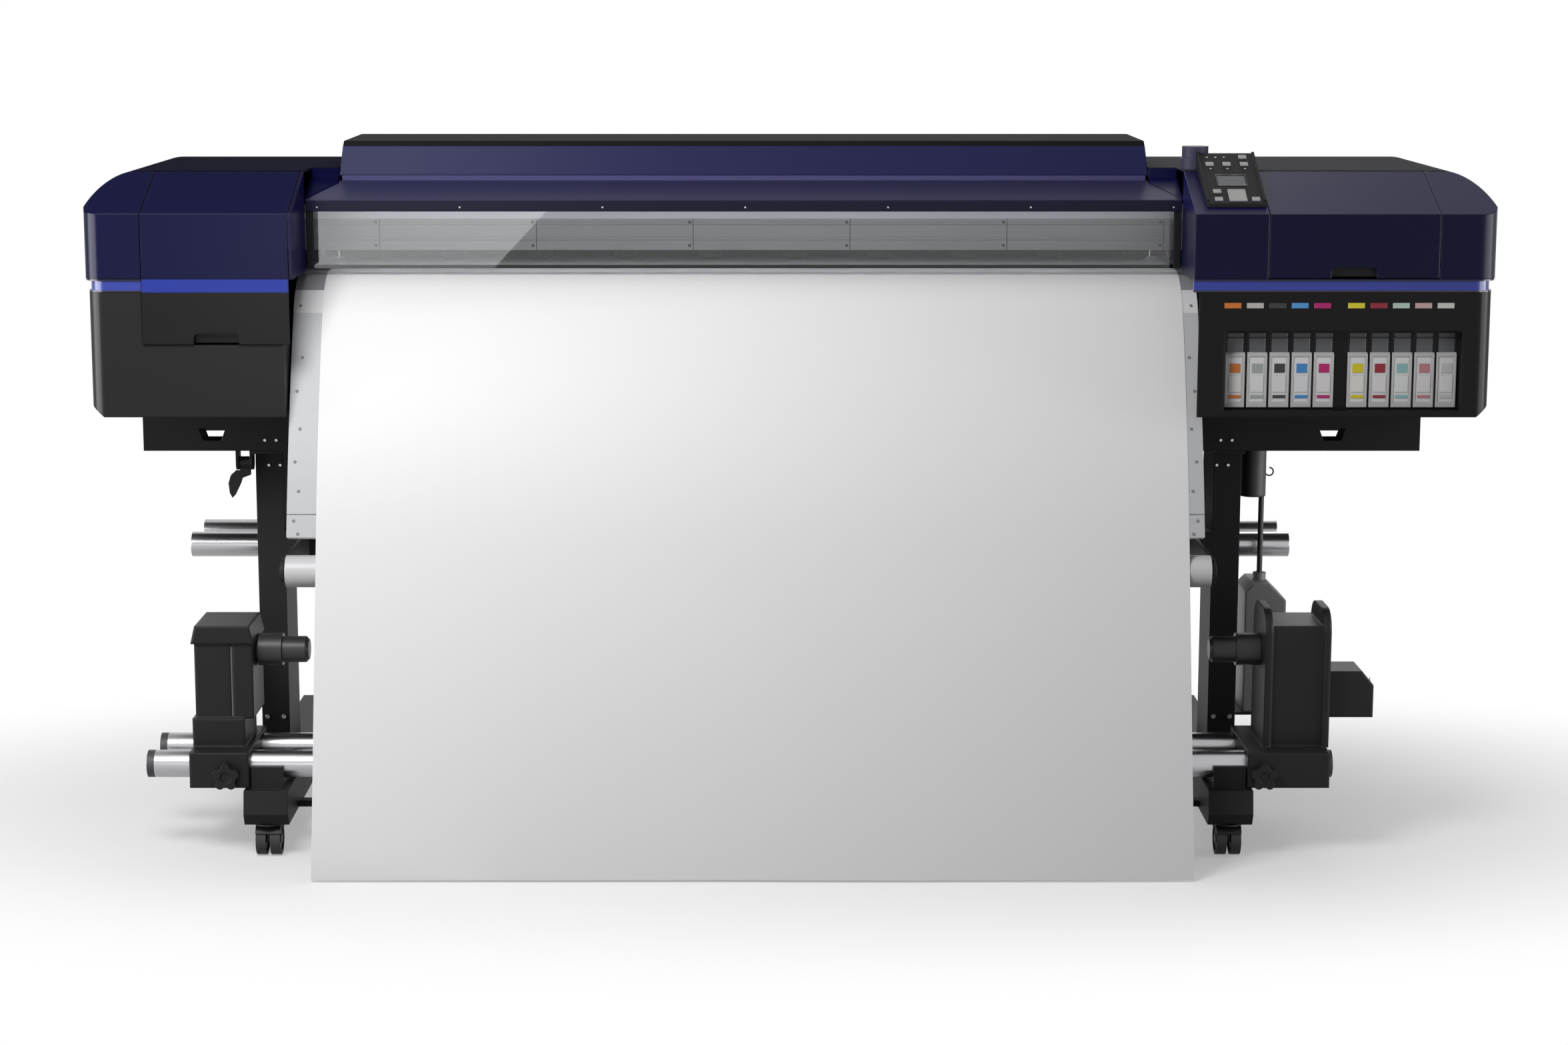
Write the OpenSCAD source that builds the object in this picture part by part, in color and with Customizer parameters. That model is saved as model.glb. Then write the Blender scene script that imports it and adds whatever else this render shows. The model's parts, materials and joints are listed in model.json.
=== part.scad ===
/* [Media] */
// Width of the vinyl web
media_w = 1626; // [1300:2:1660]
// Thickness of the web
media_t = 0.6; // [0.4:0.1:1]
// How far the web runs to the right of the middle of the print gap
media_shift = 17; // [0:1:18]
// Radius of the wound supply roll
roll_r = 110; // [70:1:112]

/* [Body] */
// Width of the left end cap
left_cap_w = 389; // [360:1:430]
// Width of the right end cap
right_cap_w = 563; // [550:1:600]
// Room beside the web on each side of the print gap
side_room = 21; // [20:1:30]
// Front faces of the end caps, forward of the origin
body_front = 328; // [320:1:340]
// Rear faces of the end caps, behind the origin
body_back = 345; // [340:1:360]
// Depth of the end caps' undersides below the platen
body_drop = 254; // [248:1:268]
// Height of the end caps' flat tops above the platen
body_rise = 194; // [188:1:202]
// Drop of the slope from the flat tops to the front faces
slope_drop = 70; // [64:1:76]
// Upper edge of the slope, forward of the origin
slope_back = 148; // [144:1:160]
// Radius of the big outer corners
corner_r = 76; // [60:1:90]
// Radius of the upright outer edges
edge_r = 35; // [20:1:45]
// Wall of the moulded covers
shell = 3; // [2:0.5:4]
// Depth of the accent stripes' lower edge below the platen
stripe_drop = 20; // [18:1:28]
// Height of the accent stripes
stripe_h = 24; // [16:1:26]
// Depth of the accent stripes' groove beside the end caps
groove_side = 10; // [8:0.5:11]
// Depth of the accent stripes' groove in front of the end caps
groove_front = 4; // [3:0.5:5]
// How far the lower covers stand back behind the end caps
lower_inset = 6; // [4:1:10]

/* [Covers] */
// Window plane of the front cover, forward of the origin
cover_front = 150; // [148:1:156]
// Height of the front cover's lip
lip_h = 22; // [18:1:26]
// Depth of the lip's upper edge below the end caps' tops
lip_drop = 55; // [50:1:60]
// Depth of the front cover's rear edge below the end caps' tops
cover_drop = 24; // [22:1:28]
// Gap between the platen and the window
window_gap = 9; // [7:1:22]
// Thickness of the window
window_t = 4; // [3:0.5:6]
// Cover hinge axis, forward of the origin
hinge_y = 60; // [58:1:62]
// Depth of the cover hinge axis below the cover's rear edge
hinge_drop = 8; // [6:1:10]
// Height of the raised top cover above the end caps
top_rise = 50; // [44:1:58]
// Depth of the raised top cover behind the origin
top_cover_back = 262; // [250:1:280]
// Step between each end cap and the raised top cover
top_step = 54; // [45:1:70]

/* [Doors] */
// Width of the left service door
left_door_w = 272; // [240:1:274]
// Width of the right service door
right_door_w = 315; // [280:1:320]
// Rim between the left service door and the print gap
left_door_rim = 8; // [7:1:12]
// Room for the control panel beside the right service door
right_door_rim = 138; // [136:1:145]
// How far the left service door reaches below the stripe
left_door_drop = 97; // [78:1:118]
// Gap between the stripe and the right service door
right_door_gap = 2; // [1.5:0.5:18]
// Width of the finger notches
notch_w = 84; // [60:1:110]
// Height of the finger notches
notch_h = 20; // [14:1:24]
// Gap round each door
door_gap = 1.5; // [1:0.5:2]
// Radius of the door hinge pins
door_pin_r = 2.5; // [2:0.25:2.5]

/* [Platen and heater] */
// Height of the platen
platen_z = 1088; // [1080:1:1090]
// Front edge of the platen, forward of the origin
platen_front = 95; // [90:1:100]
// Rear edge of the platen, behind the origin
platen_back = 208; // [206:1:216]
// Depth of the hollow platen
platen_h = 48; // [44:1:60]
// Wall of the hollow platen
platen_wall = 8; // [6:0.5:8]
// Radius of the rear pre-heater
pre_r = 107; // [105:1:130]
// Overhang of the platen and heater past the print gap on the left
heater_left = 17; // [10:1:18]
// Overhang of the platen and heater past the print gap on the right
heater_right = 25; // [15:1:26]
// Radius of the front heater's upper bend
heater_r = 130; // [120:1:140]
// Angle that the upper bend turns through
heater_bend = 62; // [58:0.5:64]
// Radius of the front heater's long face
heater_long_r = 2000; // [1900:10:2100]
// Angle of the heater's face at its lower edge
heater_end = 74.5; // [74:0.5:76]
// Thickness of the heater case
heater_t = 25; // [15:1:28]
// Height of the separate lower lip of the heater
heater_lip = 44; // [30:1:60]

/* [Media drive] */
// Grit line, behind the origin
grit_y = 150; // [148:1:152]
// Radius of the grit sleeves
grit_r = 14; // [12:0.5:14]
// Radius of the grit shaft's journals
grit_journal_r = 8; // [6:0.5:9]
// Number of pinch stations
pinch_count = 10; // [6:1:10]
// Radius of the pinch rollers
pinch_r = 9; // [8:0.5:10]
// Radius of the pinch lift shaft
lift_shaft_r = 6; // [5:0.5:7]
// Distance from the lift shaft forward to the pinch rollers
pinch_arm = 45; // [40:1:46]
// Radius of the guide roller
guide_r = 30; // [24:1:32]
// Distance down the web from the heater to the guide roller
guide_drop = 60; // [58:1:70]
// Radius of the guide roller's journals
guide_journal_r = 10; // [8:0.5:12]

/* [Carriage] */
// Front face of the carriage beam, behind the origin
beam_y = 60; // [58:1:64]
// Depth of the carriage beam
beam_d = 58; // [50:1:60]
// Gap between the platen and the carriage beam
beam_gap = 26; // [24:1:32]
// Height of the carriage beam
beam_h = 76; // [70:1:80]
// Width of the linear rail on the beam
rail_w = 20; // [16:1:24]
// Height of the linear rail on the beam
rail_h = 12; // [10:1:14]
// Width of the print carriage
carriage_w = 230; // [200:2:240]
// Front face of the print carriage, forward of the origin
carriage_front = 70; // [60:1:76]
// Height of the print heads above the platen
head_gap = 5; // [4:0.5:8]

/* [Control panel] */
// Width of the control panel
panel_w = 110; // [106:1:112]
// Front edge of the panel, forward of the origin
panel_front = 300; // [295:1:305]
// Rear edge of the panel, forward of the origin
panel_back = 128; // [124:1:134]
// Height of the panel's rear edge above the end caps
panel_rise = 32; // [28:1:36]
// Thickness of the keys above the panel
key_h = 2; // [1.5:0.5:3]
// Travel of the keys
key_travel = 0.8; // [0.5:0.1:1]
// Radius of the warning lamp
lamp_r = 25; // [20:1:26]

/* [Ink supply] */
// Width of an ink cartridge
cart_w = 37; // [34:0.5:38]
// Height of an ink cartridge
cart_h = 103; // [95:1:106]
// Length of an ink cartridge
cart_len = 285; // [240:1:290]
// Height of the ink cartridges above the housing's underside
cart_rise = 16; // [12:1:22]
// Spacing of the ink cartridges
cart_pitch = 41.5; // [41.5:0.25:43]
// First cartridge from the print gap
cart_first = 65; // [62:1:70]
// Gap between the two groups of cartridges
cart_group = 26; // [22:1:28]
// Width of a cartridge's neck
neck_w = 30; // [24:1:32]
// Height of a cartridge's neck
neck_h = 41; // [34:1:42]
// How far the cartridges stand back from the housing's front
cart_back = 22; // [18:1:26]

/* [Stand] */
// Width of the posts
post_w = 54; // [48:1:60]
// Front face of the posts, forward of the origin
post_front = 78; // [72:1:84]
// Depth of the posts
post_d = 140; // [130:1:144]
// Thickness of the tray on the chassis beams
tray_t = 4; // [3:0.5:6]
// Height of the chassis beams
chassis_h = 89; // [80:1:89]
// Wall of the chassis beams
chassis_wall = 4; // [3:0.5:5]
// Width of the feet
foot_w = 84; // [76:1:90]
// Underside of the feet
foot_low = 66; // [64:1:72]
// Height of the feet
foot_h = 66; // [60:1:68]
// Front ends of the feet, forward of the origin
foot_front = 392; // [386:1:394]
// Rear ends of the feet, behind the origin
foot_back = 440; // [420:1:460]
// Radius of the caster wheels
wheel_r = 30.5; // [28:0.5:31]
// Width of one caster wheel
wheel_w = 19; // [16:0.5:20]
// Swivel trail of the casters
caster_trail = 12; // [8:1:14]

/* [Take-up unit] */
// Radius of the take-up rails
take_rail_r = 26; // [22:1:27]
// Height of the take-up rails
take_rail_z = 172; // [170:1:176]
// Front take-up rail, forward of the origin
take_rail_front = 328; // [326:1:332]
// Spacing of the take-up rails
take_rail_gap = 140; // [136:1:144]
// How far the take-up rails run past the idler housing
take_over_l = 85; // [78:1:95]
// How far the take-up rails run past the drive housing
take_over_r = 6; // [2:1:16]
// Height of the take-up axis
take_axis_z = 379; // [370:1:385]
// Radius of the take-up hub shafts
hub_r = 20; // [16:0.5:22]
// Radius of the take-up core plugs
plug_r = 25; // [22:0.5:26]
// Radius of the collars behind the core plugs
collar_r = 31; // [28:0.5:36]
// Top of the idler housing
idler_top = 437; // [432:1:442]
// Top of the drive housing
drive_top = 467; // [460:1:472]

/* [Rear feed] */
// Radius of the feed rails
feed_rail_r = 25; // [22:1:26]
// Height of the feed rails
feed_rail_z = 515; // [505:1:520]
// Front feed rail, behind the origin
feed_rail_front = 122; // [118:1:126]
// Spacing of the feed rails
feed_rail_gap = 150; // [140:1:152]
// How far the feed rails run past the left post
feed_over_l = 162.5; // [150:0.5:175]
// How far the feed rails run past the right post
feed_over_r = 128.5; // [120:0.5:140]
// Height of the supply roll's axis
roll_z = 640; // [636:1:650]
// Radius of the supply roll's core
core_r = 38; // [30:1:44]

/* [Fits] */
// Radial running clearance of shafts
run_gap = 0.05; // [0.02:0.01:0.08]
// Gap between parts that move past each other
part_gap = 0.5; // [0.3:0.1:0.6]
// Gap under the web
media_gap = 0.3; // [0.3:0.05:0.5]

/* [Hidden] */
$fn = 48;
eps = 1;
gap_w = media_w + 2 * side_room;
x_left = -(left_cap_w + gap_w + right_cap_w) / 2;
x_gap_l = x_left + left_cap_w;
x_gap_r = x_gap_l + gap_w;
x_right = x_gap_r + right_cap_w;
gap_mid = (x_gap_l + x_gap_r) / 2;
media_l = gap_mid + media_shift - media_w / 2;
media_r = media_l + media_w;
heat_l = x_gap_l - heater_left;
heat_r = x_gap_r + heater_right;
heat_w = heat_r - heat_l;

// Heights above the floor, all carried by the platen
body_low = platen_z - body_drop;
body_top = platen_z + body_rise;
slope_front_z = body_top - slope_drop;
stripe_low = platen_z - stripe_drop;
stripe_high = stripe_low + stripe_h;
lip_high = body_top - lip_drop;
lip_low = lip_high - lip_h;
cover_rear_z = body_top - cover_drop;
window_low = platen_z + window_gap;
hinge_z = cover_rear_z - hinge_drop;
top_cover_z = body_top + top_rise;
left_door_low = stripe_low - left_door_drop;
right_door_low = stripe_high + right_door_gap;
beam_low = platen_z + beam_gap;
panel_z = body_top + panel_rise;
cart_low = body_low + cart_rise;
chassis_low = body_low - tray_t - chassis_h;
corner_over = 2;
corner_in = corner_r - corner_over;
slope_tan = (body_top - slope_front_z) / (body_front - slope_back);
slope_cos = 1 / sqrt(1 + slope_tan * slope_tan);

// Stand stations, measured from the middle of the stand
stand_shift = 9;
post_out = 99;
foot_out = 75;
arm_out = 31;
stand_mid = gap_mid + stand_shift;
post_off = gap_w / 2 + post_out;
foot_off = gap_w / 2 + foot_out;
arm_off = gap_w / 2 + arm_out;
arm_t = 8;
arm_eye_r = 22;
arm_root = 26;
arm_seat = 40;
arm_back = -post_front + arm_seat;
foot_top = foot_low + foot_h;
cap_plate_t = 6;
post_top = chassis_low - cap_plate_t;
beam_width = 60;
chassis_front = 120;
chassis_rear = 160;
chassis_in_l = 63;
chassis_in_r = 91;
chassis_l = x_left + chassis_in_l;
chassis_r = x_right - chassis_in_r;
chassis_top = chassis_low + chassis_h;
tray_front = 200;
handle_w = 52;
handle_h = 24;
handle_up = 20;
handle_in_l = 196;
handle_in_r = 260;
handle_low = chassis_low + handle_up;
handle_l = x_left + handle_in_l;
handle_r = x_right - handle_in_r;

// Web and heater path: the platen is level, then two bends lead to the straight drop
pre_y = platen_back + pre_r;
bend_c = [-platen_front, platen_z - heater_r];
function bend_pt(a, lift) = bend_c + (heater_r + lift) * [-sin(a), cos(a)];
long_c = bend_pt(heater_bend, 0) + heater_long_r * [sin(heater_bend), -cos(heater_bend)];
function long_pt(a, lift) = long_c + (heater_long_r + lift) * [-sin(a), cos(a)];
drop_dir = [-cos(heater_end), -sin(heater_end)];
drop_out = [-sin(heater_end), cos(heater_end)];
function pre_pt(a, lift) =
    [platen_back, platen_z - pre_r] + (pre_r + lift) * [cos(a), sin(a)];
bend_steps = 20;
long_steps = 12;
function heater_line(lift, last) = concat(
    [for (i = [0:bend_steps]) bend_pt(heater_bend * i / bend_steps, lift)],
    [for (i = [1:long_steps]) long_pt(heater_bend + (last - heater_bend) * i / long_steps, lift)]);
function pre_line(lift) = [for (i = [0:bend_steps]) pre_pt(90 * i / bend_steps, lift)];
function reversed(p) = [for (i = [len(p) - 1:-1:0]) p[i]];
heater_foot = long_pt(heater_end, 0);
web_foot_z = 4;
function drop_pt(lift, z) = let (s = long_pt(heater_end, lift))
    s + drop_dir * ((s[1] - z) / -drop_dir[1]);
guide_c = heater_foot + guide_drop * drop_dir - (guide_r + part_gap) * drop_out;
lip_seam = heater_end - heater_lip / heater_long_r * 180 / PI;
lip_groove = 2;
guide_end = 2;
guide_half = arm_off - guide_end;

// Media loading lever under the left end cap
lever_w = 20;
lever_y = -90;
lever_pin_r = 6;
lever_hub_r = 12;
lever_ear_r = 14;
lever_drop = 27;
lever_z = chassis_low - lever_drop;
lever_t = 12;
lever_cheek = 6;
lever_room = 1.5;
lever_x = stand_mid - post_off - post_w / 2 - lever_room - lever_cheek - part_gap - lever_w;
// Outline of the lever's bent grip, measured from the left end of its hub
LEVER_GRIP = [[0, 0], [0, -16], [-9, -16], [-18, -24], [-23, -40], [-21, -59], [-16, -69],
    [-11, -64], [0, -42], [4, -30], [20, -24], [20, 0]];

// Media drive
grit_z = platen_z - grit_r;
pinch_z = platen_z + media_gap + media_t + media_gap + pinch_r;
lift_y = grit_y + pinch_arm;
lift_rise = 26;
lift_z = platen_z + lift_rise;
lift_wall = 4;
bearing_t = 10;
pinch_in = 50;
pinch_first = media_l + pinch_in;
pinch_step = (media_w - 2 * pinch_in) / (pinch_count - 1);
pinch_l = 34;
pinch_axle_r = 3;
sleeve_l = 44;
grit_step = 3;
grit_core_r = grit_r - grit_step;
grit_slot = 2 * (grit_r + grit_step);

// Covers
step_l = x_gap_l + top_step;
step_r = x_gap_r - top_step;
hinge_edge = 1.5;
cover_rear = hinge_y + hinge_edge;
cover_tan = (cover_rear_z - lip_high) / (cover_front + window_t / 2 - cover_rear);
cover_gap = 2;
function skin_z(y) = cover_rear_z - shell / 2 + (y + cover_rear) * cover_tan;
hinge_pin_r = 4;
hinge_lug = 8;
hinge_lug_r = 8;
hinge_lug_in = 6;
cover_square = 12;
frame_w = 14;
frame_d = 10;
top_in = 14;
top_lap = 9;
rear_drop = 78;
top_front = hinge_y - top_in;
top_low = cover_rear_z + top_lap;
rear_low = platen_z - rear_drop;

// Doors
door_x_l = x_gap_l - left_door_rim - left_door_w;
door_x_r = x_gap_r + right_door_rim;
door_pivot_out = 2;
door_pivot_drop = 4.5;
door_pivot_y = -slope_back - door_pivot_out;
door_pivot_z = body_top - door_pivot_drop;
door_roof_gap = 5;
door_lug = 6;

// Carriage
beam_in_l = 115;
beam_in_r = 125;
beam_l = x_left + beam_in_l;
beam_r = x_right - beam_in_r;
beam_top = beam_low + beam_h;
column_w = 40;
column_d = 50;
park_out = 213;
park_x = x_gap_r + park_out;
carriage_low = platen_z + head_gap;
rail_in = 19;
rail_front = beam_y + rail_in;

// Control panel
panel_out = 25;
panel_l = x_gap_r + panel_out;
panel_lift = 7;
panel_seat = slope_front_z + (body_front - panel_front) * slope_tan;
panel_z0 = panel_seat + panel_lift;
panel_angle = atan((panel_z - panel_z0) / (panel_front - panel_back));
panel_len = (panel_front - panel_back) / cos(panel_angle);
panel_mid = panel_l + panel_w / 2;
panel_rim = 5;
key_well = 4;
key_slack = 0.4;
lamp_h = 44;
screen_w = 52;
screen_l = 36;
screen_v = 87;
screen_d = 1;
key_w = 15;
key_l = 12;
// Name, place across the panel, place up the panel, width and length of each key
KEYS = [
    ["key_power", 31, 175, key_w, key_l],
    ["key_menu", -34, 148, key_w, key_l],
    ["key_function", -2, 148, key_w, key_l],
    ["key_setup", 31, 148, key_w, key_l],
    ["key_pause", -32, 45, key_w, key_l],
    ["key_feed", -32, 16, key_w, key_l],
    ["key_arrows", 4, 30, 33, 42],
    ["key_enter", 37, 16, key_w, key_l],
];

// Ink supply
CARTS = 10;
carts_per_group = 5;
cart_face = -(body_front - lower_inset - cart_back);
rack_t = 4;
rack_top = cart_low + cart_h + neck_h + rack_t;
neck_d = 60;
ink_out = 11;
ink_wall_out = 29;
ink_l = x_gap_r + ink_out;
ink_wall_x = x_gap_r + ink_wall_out;
function cart_x(i) = x_gap_r + cart_first + i * cart_pitch
    + (i >= carts_per_group ? cart_group - (cart_pitch - cart_w) : 0);
cap_station = [220, 110];

// Take-up unit
take_back = -take_rail_front + take_rail_gap;
take_mid = -take_rail_front + take_rail_gap / 2;
saddle_w = 60;
saddle_h = 42;
saddle_pad = 12;
clamp_pad = 21;
clamp_under = 36;
clamp_h = clamp_under + take_rail_r + 6;
clamp_low = take_rail_z - clamp_under;
idler_out = 210;
idler_l = x_gap_l - idler_out;
idler_w = 119;
drive_out = 150;
drive_l = x_gap_r + drive_out;
drive_w = 124;
take_l = idler_l - take_over_l;
take_rail_len = drive_l + drive_w + take_over_r - take_l;
plug_len = 96;
collar_len = 46;
hub_seat = 50;
hub_room = 5;
hub_hole = hub_seat + hub_room;
knob_r = 26;
knob_l = 18;
knob_stem_r = 6;
motor_w = 88;
motor_h = 89;

clamp_front = -take_rail_front - take_rail_r - clamp_pad;
clamp_side = 2;
knob_drop = 12;
knob_z = take_rail_z - knob_drop;
knob_in = 70;
knob_l_x = idler_l + knob_in;
knob_r_x = drive_l - 5;
idler_clamp_w = stand_mid - foot_off - saddle_w / 2 - idler_l - clamp_side;
drive_clamp_l = stand_mid + foot_off + saddle_w / 2 + clamp_side;

// Casters
caster_front = -358;
caster_rear = 400;
stem_r = 6;
stem_h = 30;
axle_r = 5;
fork_core = 7;
fork_plate = 3;
fork_r = 26;
fork_boss = 8;
hood_gap = 1.5;
hood_t = 2;
hood_low = 16;
hood_top = 1;
CASTERS = [[-1, caster_front], [1, caster_front], [-1, caster_rear], [1, caster_rear]];

// Rear feed
feed_half = post_off + post_w / 2;
feed_l = stand_mid - feed_half - feed_over_l;
feed_rail_len = 2 * feed_half + feed_over_l + feed_over_r;
feed_back = feed_rail_front + feed_rail_gap;
roll_y = pre_y + media_gap + media_t + media_gap + roll_r;
holder_t = 46;
holder_gap = 36;
stub_r = 20;
flange_rise = 3.8;
flange_r = roll_r + flange_rise;
flange_t = 5;

// Waste ink
bottle_gap = 27;
bottle_x = stand_mid + post_off + post_w / 2 + bottle_gap;
bottle_w = 81;
bottle_d = 120;
bottle_y = 0;
bottle_low = 196;
bottle_top = 455;
tube_r = 5.5;
tube_in = 36;
tube_x = bottle_x + tube_in;
tube_y = bottle_y + bottle_d / 2;
port_drop = 116;
port_low = chassis_low - port_drop;

// Extrudes an outline drawn as depth and height, from x0 to the right
module along_x(x0, w) {
    translate([x0, 0, 0]) rotate([90, 0, 90]) linear_extrude(w) children();
}

// Extrudes an outline drawn as width and height, from y0 to the rear
module along_y(y0, d) {
    translate([0, y0 + d, 0]) rotate([90, 0, 0]) linear_extrude(d) children();
}

// A round bar along X
module bar_x(r, x0, w, y, z) {
    translate([x0, y, z]) rotate([0, 90, 0]) cylinder(r = r, h = w);
}

// A round bar along Y, towards the rear
module bar_y(r, x, y0, d, z) {
    translate([x, y0, z]) rotate([-90, 0, 0]) cylinder(r = r, h = d);
}

// A box between two corners
module box(a, b) {
    translate(a) cube(b - a);
}

// An upright rectangle with round corners, centred on a point
module round_rect(c, w, h, r) {
    translate(c) {
        square([w - 2 * r, h], center = true);
        square([w, h - 2 * r], center = true);
        for (sx = [-1, 1], sy = [-1, 1])
            translate([sx * (w / 2 - r), sy * (h / 2 - r)]) circle(r);
    }
}

// A rectangle between two corner points, in any order
module span_rect(a, b) {
    translate([min(a[0], b[0]), min(a[1], b[1])])
        square([abs(b[0] - a[0]), abs(b[1] - a[1])]);
}

// Front outline of an end cap whose roof stands t inside the outer skin; the plan gives its side
module cap_front_2d(x_in, x_out, t, z0) {
    s = sign(x_out - x_in);
    x_tan = x_out - s * corner_in;
    x_far = x_out + s * eps;
    z_c = body_top - corner_r;
    span_rect([x_in, z0], [x_tan, body_top - t]);
    span_rect([x_tan - s, z0], [x_far, z_c]);
    intersection() {
        translate([x_tan, z_c]) circle(corner_r - t, $fn = 96);
        span_rect([x_tan - s, z_c - eps], [x_far, body_top]);
    }
}

// Plan outline of an end cap whose walls stand t inside the outer skin
module cap_plan_2d(x_in, x_out, t) {
    s = sign(x_out - x_in);
    r = edge_r - t;
    x_o = x_out - s * t;
    front = -body_front + t;
    back = body_back - t;
    span_rect([x_in, front], [x_o - s * r, back]);
    span_rect([x_in, front + r], [x_o, back - r]);
    for (y = [front + r, back - r]) translate([x_o - s * r, y]) circle(r);
}

// Side outline of an end cap whose walls stand t inside the outer skin
module cap_side_2d(t, z0) {
    drop = t / slope_cos;
    front = -body_front + t;
    polygon([
        [front, z0],
        [front, slope_front_z + t * slope_tan - drop],
        [-body_front + (body_top - t + drop - slope_front_z) / slope_tan, body_top - t],
        [body_back - t, body_top - t],
        [body_back - t, z0],
    ]);
}

// Solid form of an end cap from z0 up, with its walls t inside the outer skin
module cap_solid(x_in, x_out, t, z0) {
    intersection() {
        along_y(-body_front - eps, body_front + body_back + 2 * eps)
            cap_front_2d(x_in, x_out, t, z0);
        along_x(min(x_in, x_out) - eps, abs(x_out - x_in) + 2 * eps) cap_side_2d(t, z0);
        translate([0, 0, z0 - eps]) linear_extrude(body_top) cap_plan_2d(x_in, x_out, t);
    }
}

// Shell of an end cap: closed round the front part of the print gap, open behind the window
module cap_shell(x_in, x_out) {
    s = sign(x_out - x_in);
    difference() {
        cap_solid(x_in, x_out, 0, stripe_high);
        cap_solid(x_in + s * shell, x_out, shell, stripe_high - eps);
        along_x(min(x_in - eps, x_in + s * (shell + eps)), shell + 2 * eps) polygon([
            [-cover_front + shell, stripe_high - eps],
            [-cover_front + shell, lip_high],
            [-slope_back, body_top - shell],
            [body_back + eps, body_top - shell],
            [body_back + eps, stripe_high - eps],
        ]);
    }
}

// Ribbon of the step between an end cap and the raised top cover
module step_side_2d() {
    front = -cover_front;
    wall = -top_front;
    wall_z = cover_rear_z + (wall + cover_rear) * cover_tan;
    polygon([
        [front, lip_high], [wall, wall_z], [wall, body_top], [body_back, body_top],
        [body_back, body_top - shell], [wall + shell, body_top - shell],
        [wall + shell, wall_z - shell], [front, lip_high - shell],
    ]);
}

// Step that carries an end cap's top inwards to the raised top cover, with the hinge lug
module cap_step(x_in, x_step) {
    s = sign(x_in - x_step);
    x_join = x_in + s * eps;
    intersection() {
        along_x(min(x_join, x_step), top_step + eps) step_side_2d();
        linear_extrude(body_top + eps) polygon([
            [x_join, -cover_front], [x_in, -cover_front],
            [x_step, -cover_rear - cover_square + cover_gap],
            [x_step, body_back], [x_join, body_back],
        ]);
    }
    lug_near = x_step + s * hinge_lug_in;
    lug_x = min(lug_near, lug_near + s * hinge_lug);
    difference() {
        along_x(lug_x, hinge_lug) {
            translate([-hinge_y, hinge_z]) circle(hinge_lug_r);
            span_rect([-hinge_y, hinge_z - hinge_lug_r],
                [-top_front + shell, hinge_z + hinge_lug_r / 2]);
            span_rect([-top_front, hinge_z - hinge_lug_r], [-top_front + shell, body_top - shell]);
        }
        bar_x(hinge_pin_r + run_gap, lug_x - eps, hinge_lug + 2 * eps, -hinge_y, hinge_z);
    }
}

// Outer line of a service door, t inside the skin
function door_line(low, t) = let (drop = t / slope_cos) [
    [-body_front + t, low],
    [-body_front + t, slope_front_z + t * slope_tan - drop],
    [door_pivot_y, body_top - drop + (door_pivot_y + slope_back) * slope_tan],
];

// Service door: a bent panel with side ribs, a finger notch and hinge pins at its upper edge
module service_door(x0, w, low) {
    rib = 14;
    rib_t = 3;
    notch_x = x0 + w / 2;
    difference() {
        along_x(x0, w) polygon(concat(door_line(low, 0), reversed(door_line(low, shell))));
        along_y(-body_front - eps, shell + 2 * eps) {
            span_rect([notch_x - notch_w / 2, low - eps], [notch_x + notch_w / 2, low + notch_h / 2]);
            round_rect([notch_x, low + notch_h / 2], notch_w, notch_h, notch_h / 2 - eps);
        }
    }
    for (x = [x0 + door_lug, x0 + w - door_lug - rib_t])
        along_x(x, rib_t) polygon(concat(
            door_line(low + rib, shell / 2), reversed(door_line(low + rib, rib))));
    for (x = [x0 - door_gap - door_lug + eps, x0 + w - door_lug])
        bar_x(door_pin_r, x, 2 * door_lug + door_gap - eps, door_pivot_y, door_pivot_z);
    for (x = [x0, x0 + w - door_lug])
        bar_x(door_pin_r + 1, x, door_lug, door_pivot_y, door_pivot_z);
}

// Room cut for a service door in the shells round it
module door_room(x0, w, low) {
    box([x0 - door_gap, -body_front - eps, low - door_gap],
        [x0 + w + door_gap, door_pivot_y + door_roof_gap, body_top + eps]);
}

// Hinge lugs of a service door, under the roof of its end cap
module door_lugs(x0, w) {
    lug_r = door_pin_r + 1.8;
    for (x = [x0 - door_gap - door_lug, x0 + w + door_gap])
        difference() {
            bar_x(lug_r, x, door_lug, door_pivot_y, door_pivot_z);
            bar_x(door_pin_r + run_gap, x - eps, door_lug + 2 * eps, door_pivot_y, door_pivot_z);
        }
}

module left_end_cap() {
    color("midnightblue") {
        difference() {
            cap_shell(x_gap_l, x_left);
            door_room(door_x_l, left_door_w, stripe_high - eps);
            door_pin_bores(door_x_l, left_door_w);
        }
        difference() {
            door_lugs(door_x_l, left_door_w);
            above_roof();
        }
        cap_step(x_gap_l, step_l);
    }
}

module right_end_cap() {
    color("midnightblue") {
        difference() {
            cap_shell(x_gap_r, x_right);
            door_room(door_x_r, right_door_w, stripe_high - eps);
            door_pin_bores(door_x_r, right_door_w);
        }
        difference() {
            door_lugs(door_x_r, right_door_w);
            above_roof();
        }
        cap_step(x_gap_r, step_r);
    }
}

// Bores for the door pins through the rims beside a door
module door_pin_bores(x0, w) {
    for (x = [x0 - door_gap - door_lug, x0 + w + door_gap])
        bar_x(door_pin_r + run_gap, x, door_lug, door_pivot_y, door_pivot_z);
}

// Space above the sloped and flat roof of the end caps
module above_roof() {
    along_x(x_left, x_right - x_left) polygon([
        [-body_front, slope_front_z], [-slope_back, body_top], [body_back, body_top],
        [body_back, body_top + edge_r], [-body_front, body_top + edge_r],
    ]);
}

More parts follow.
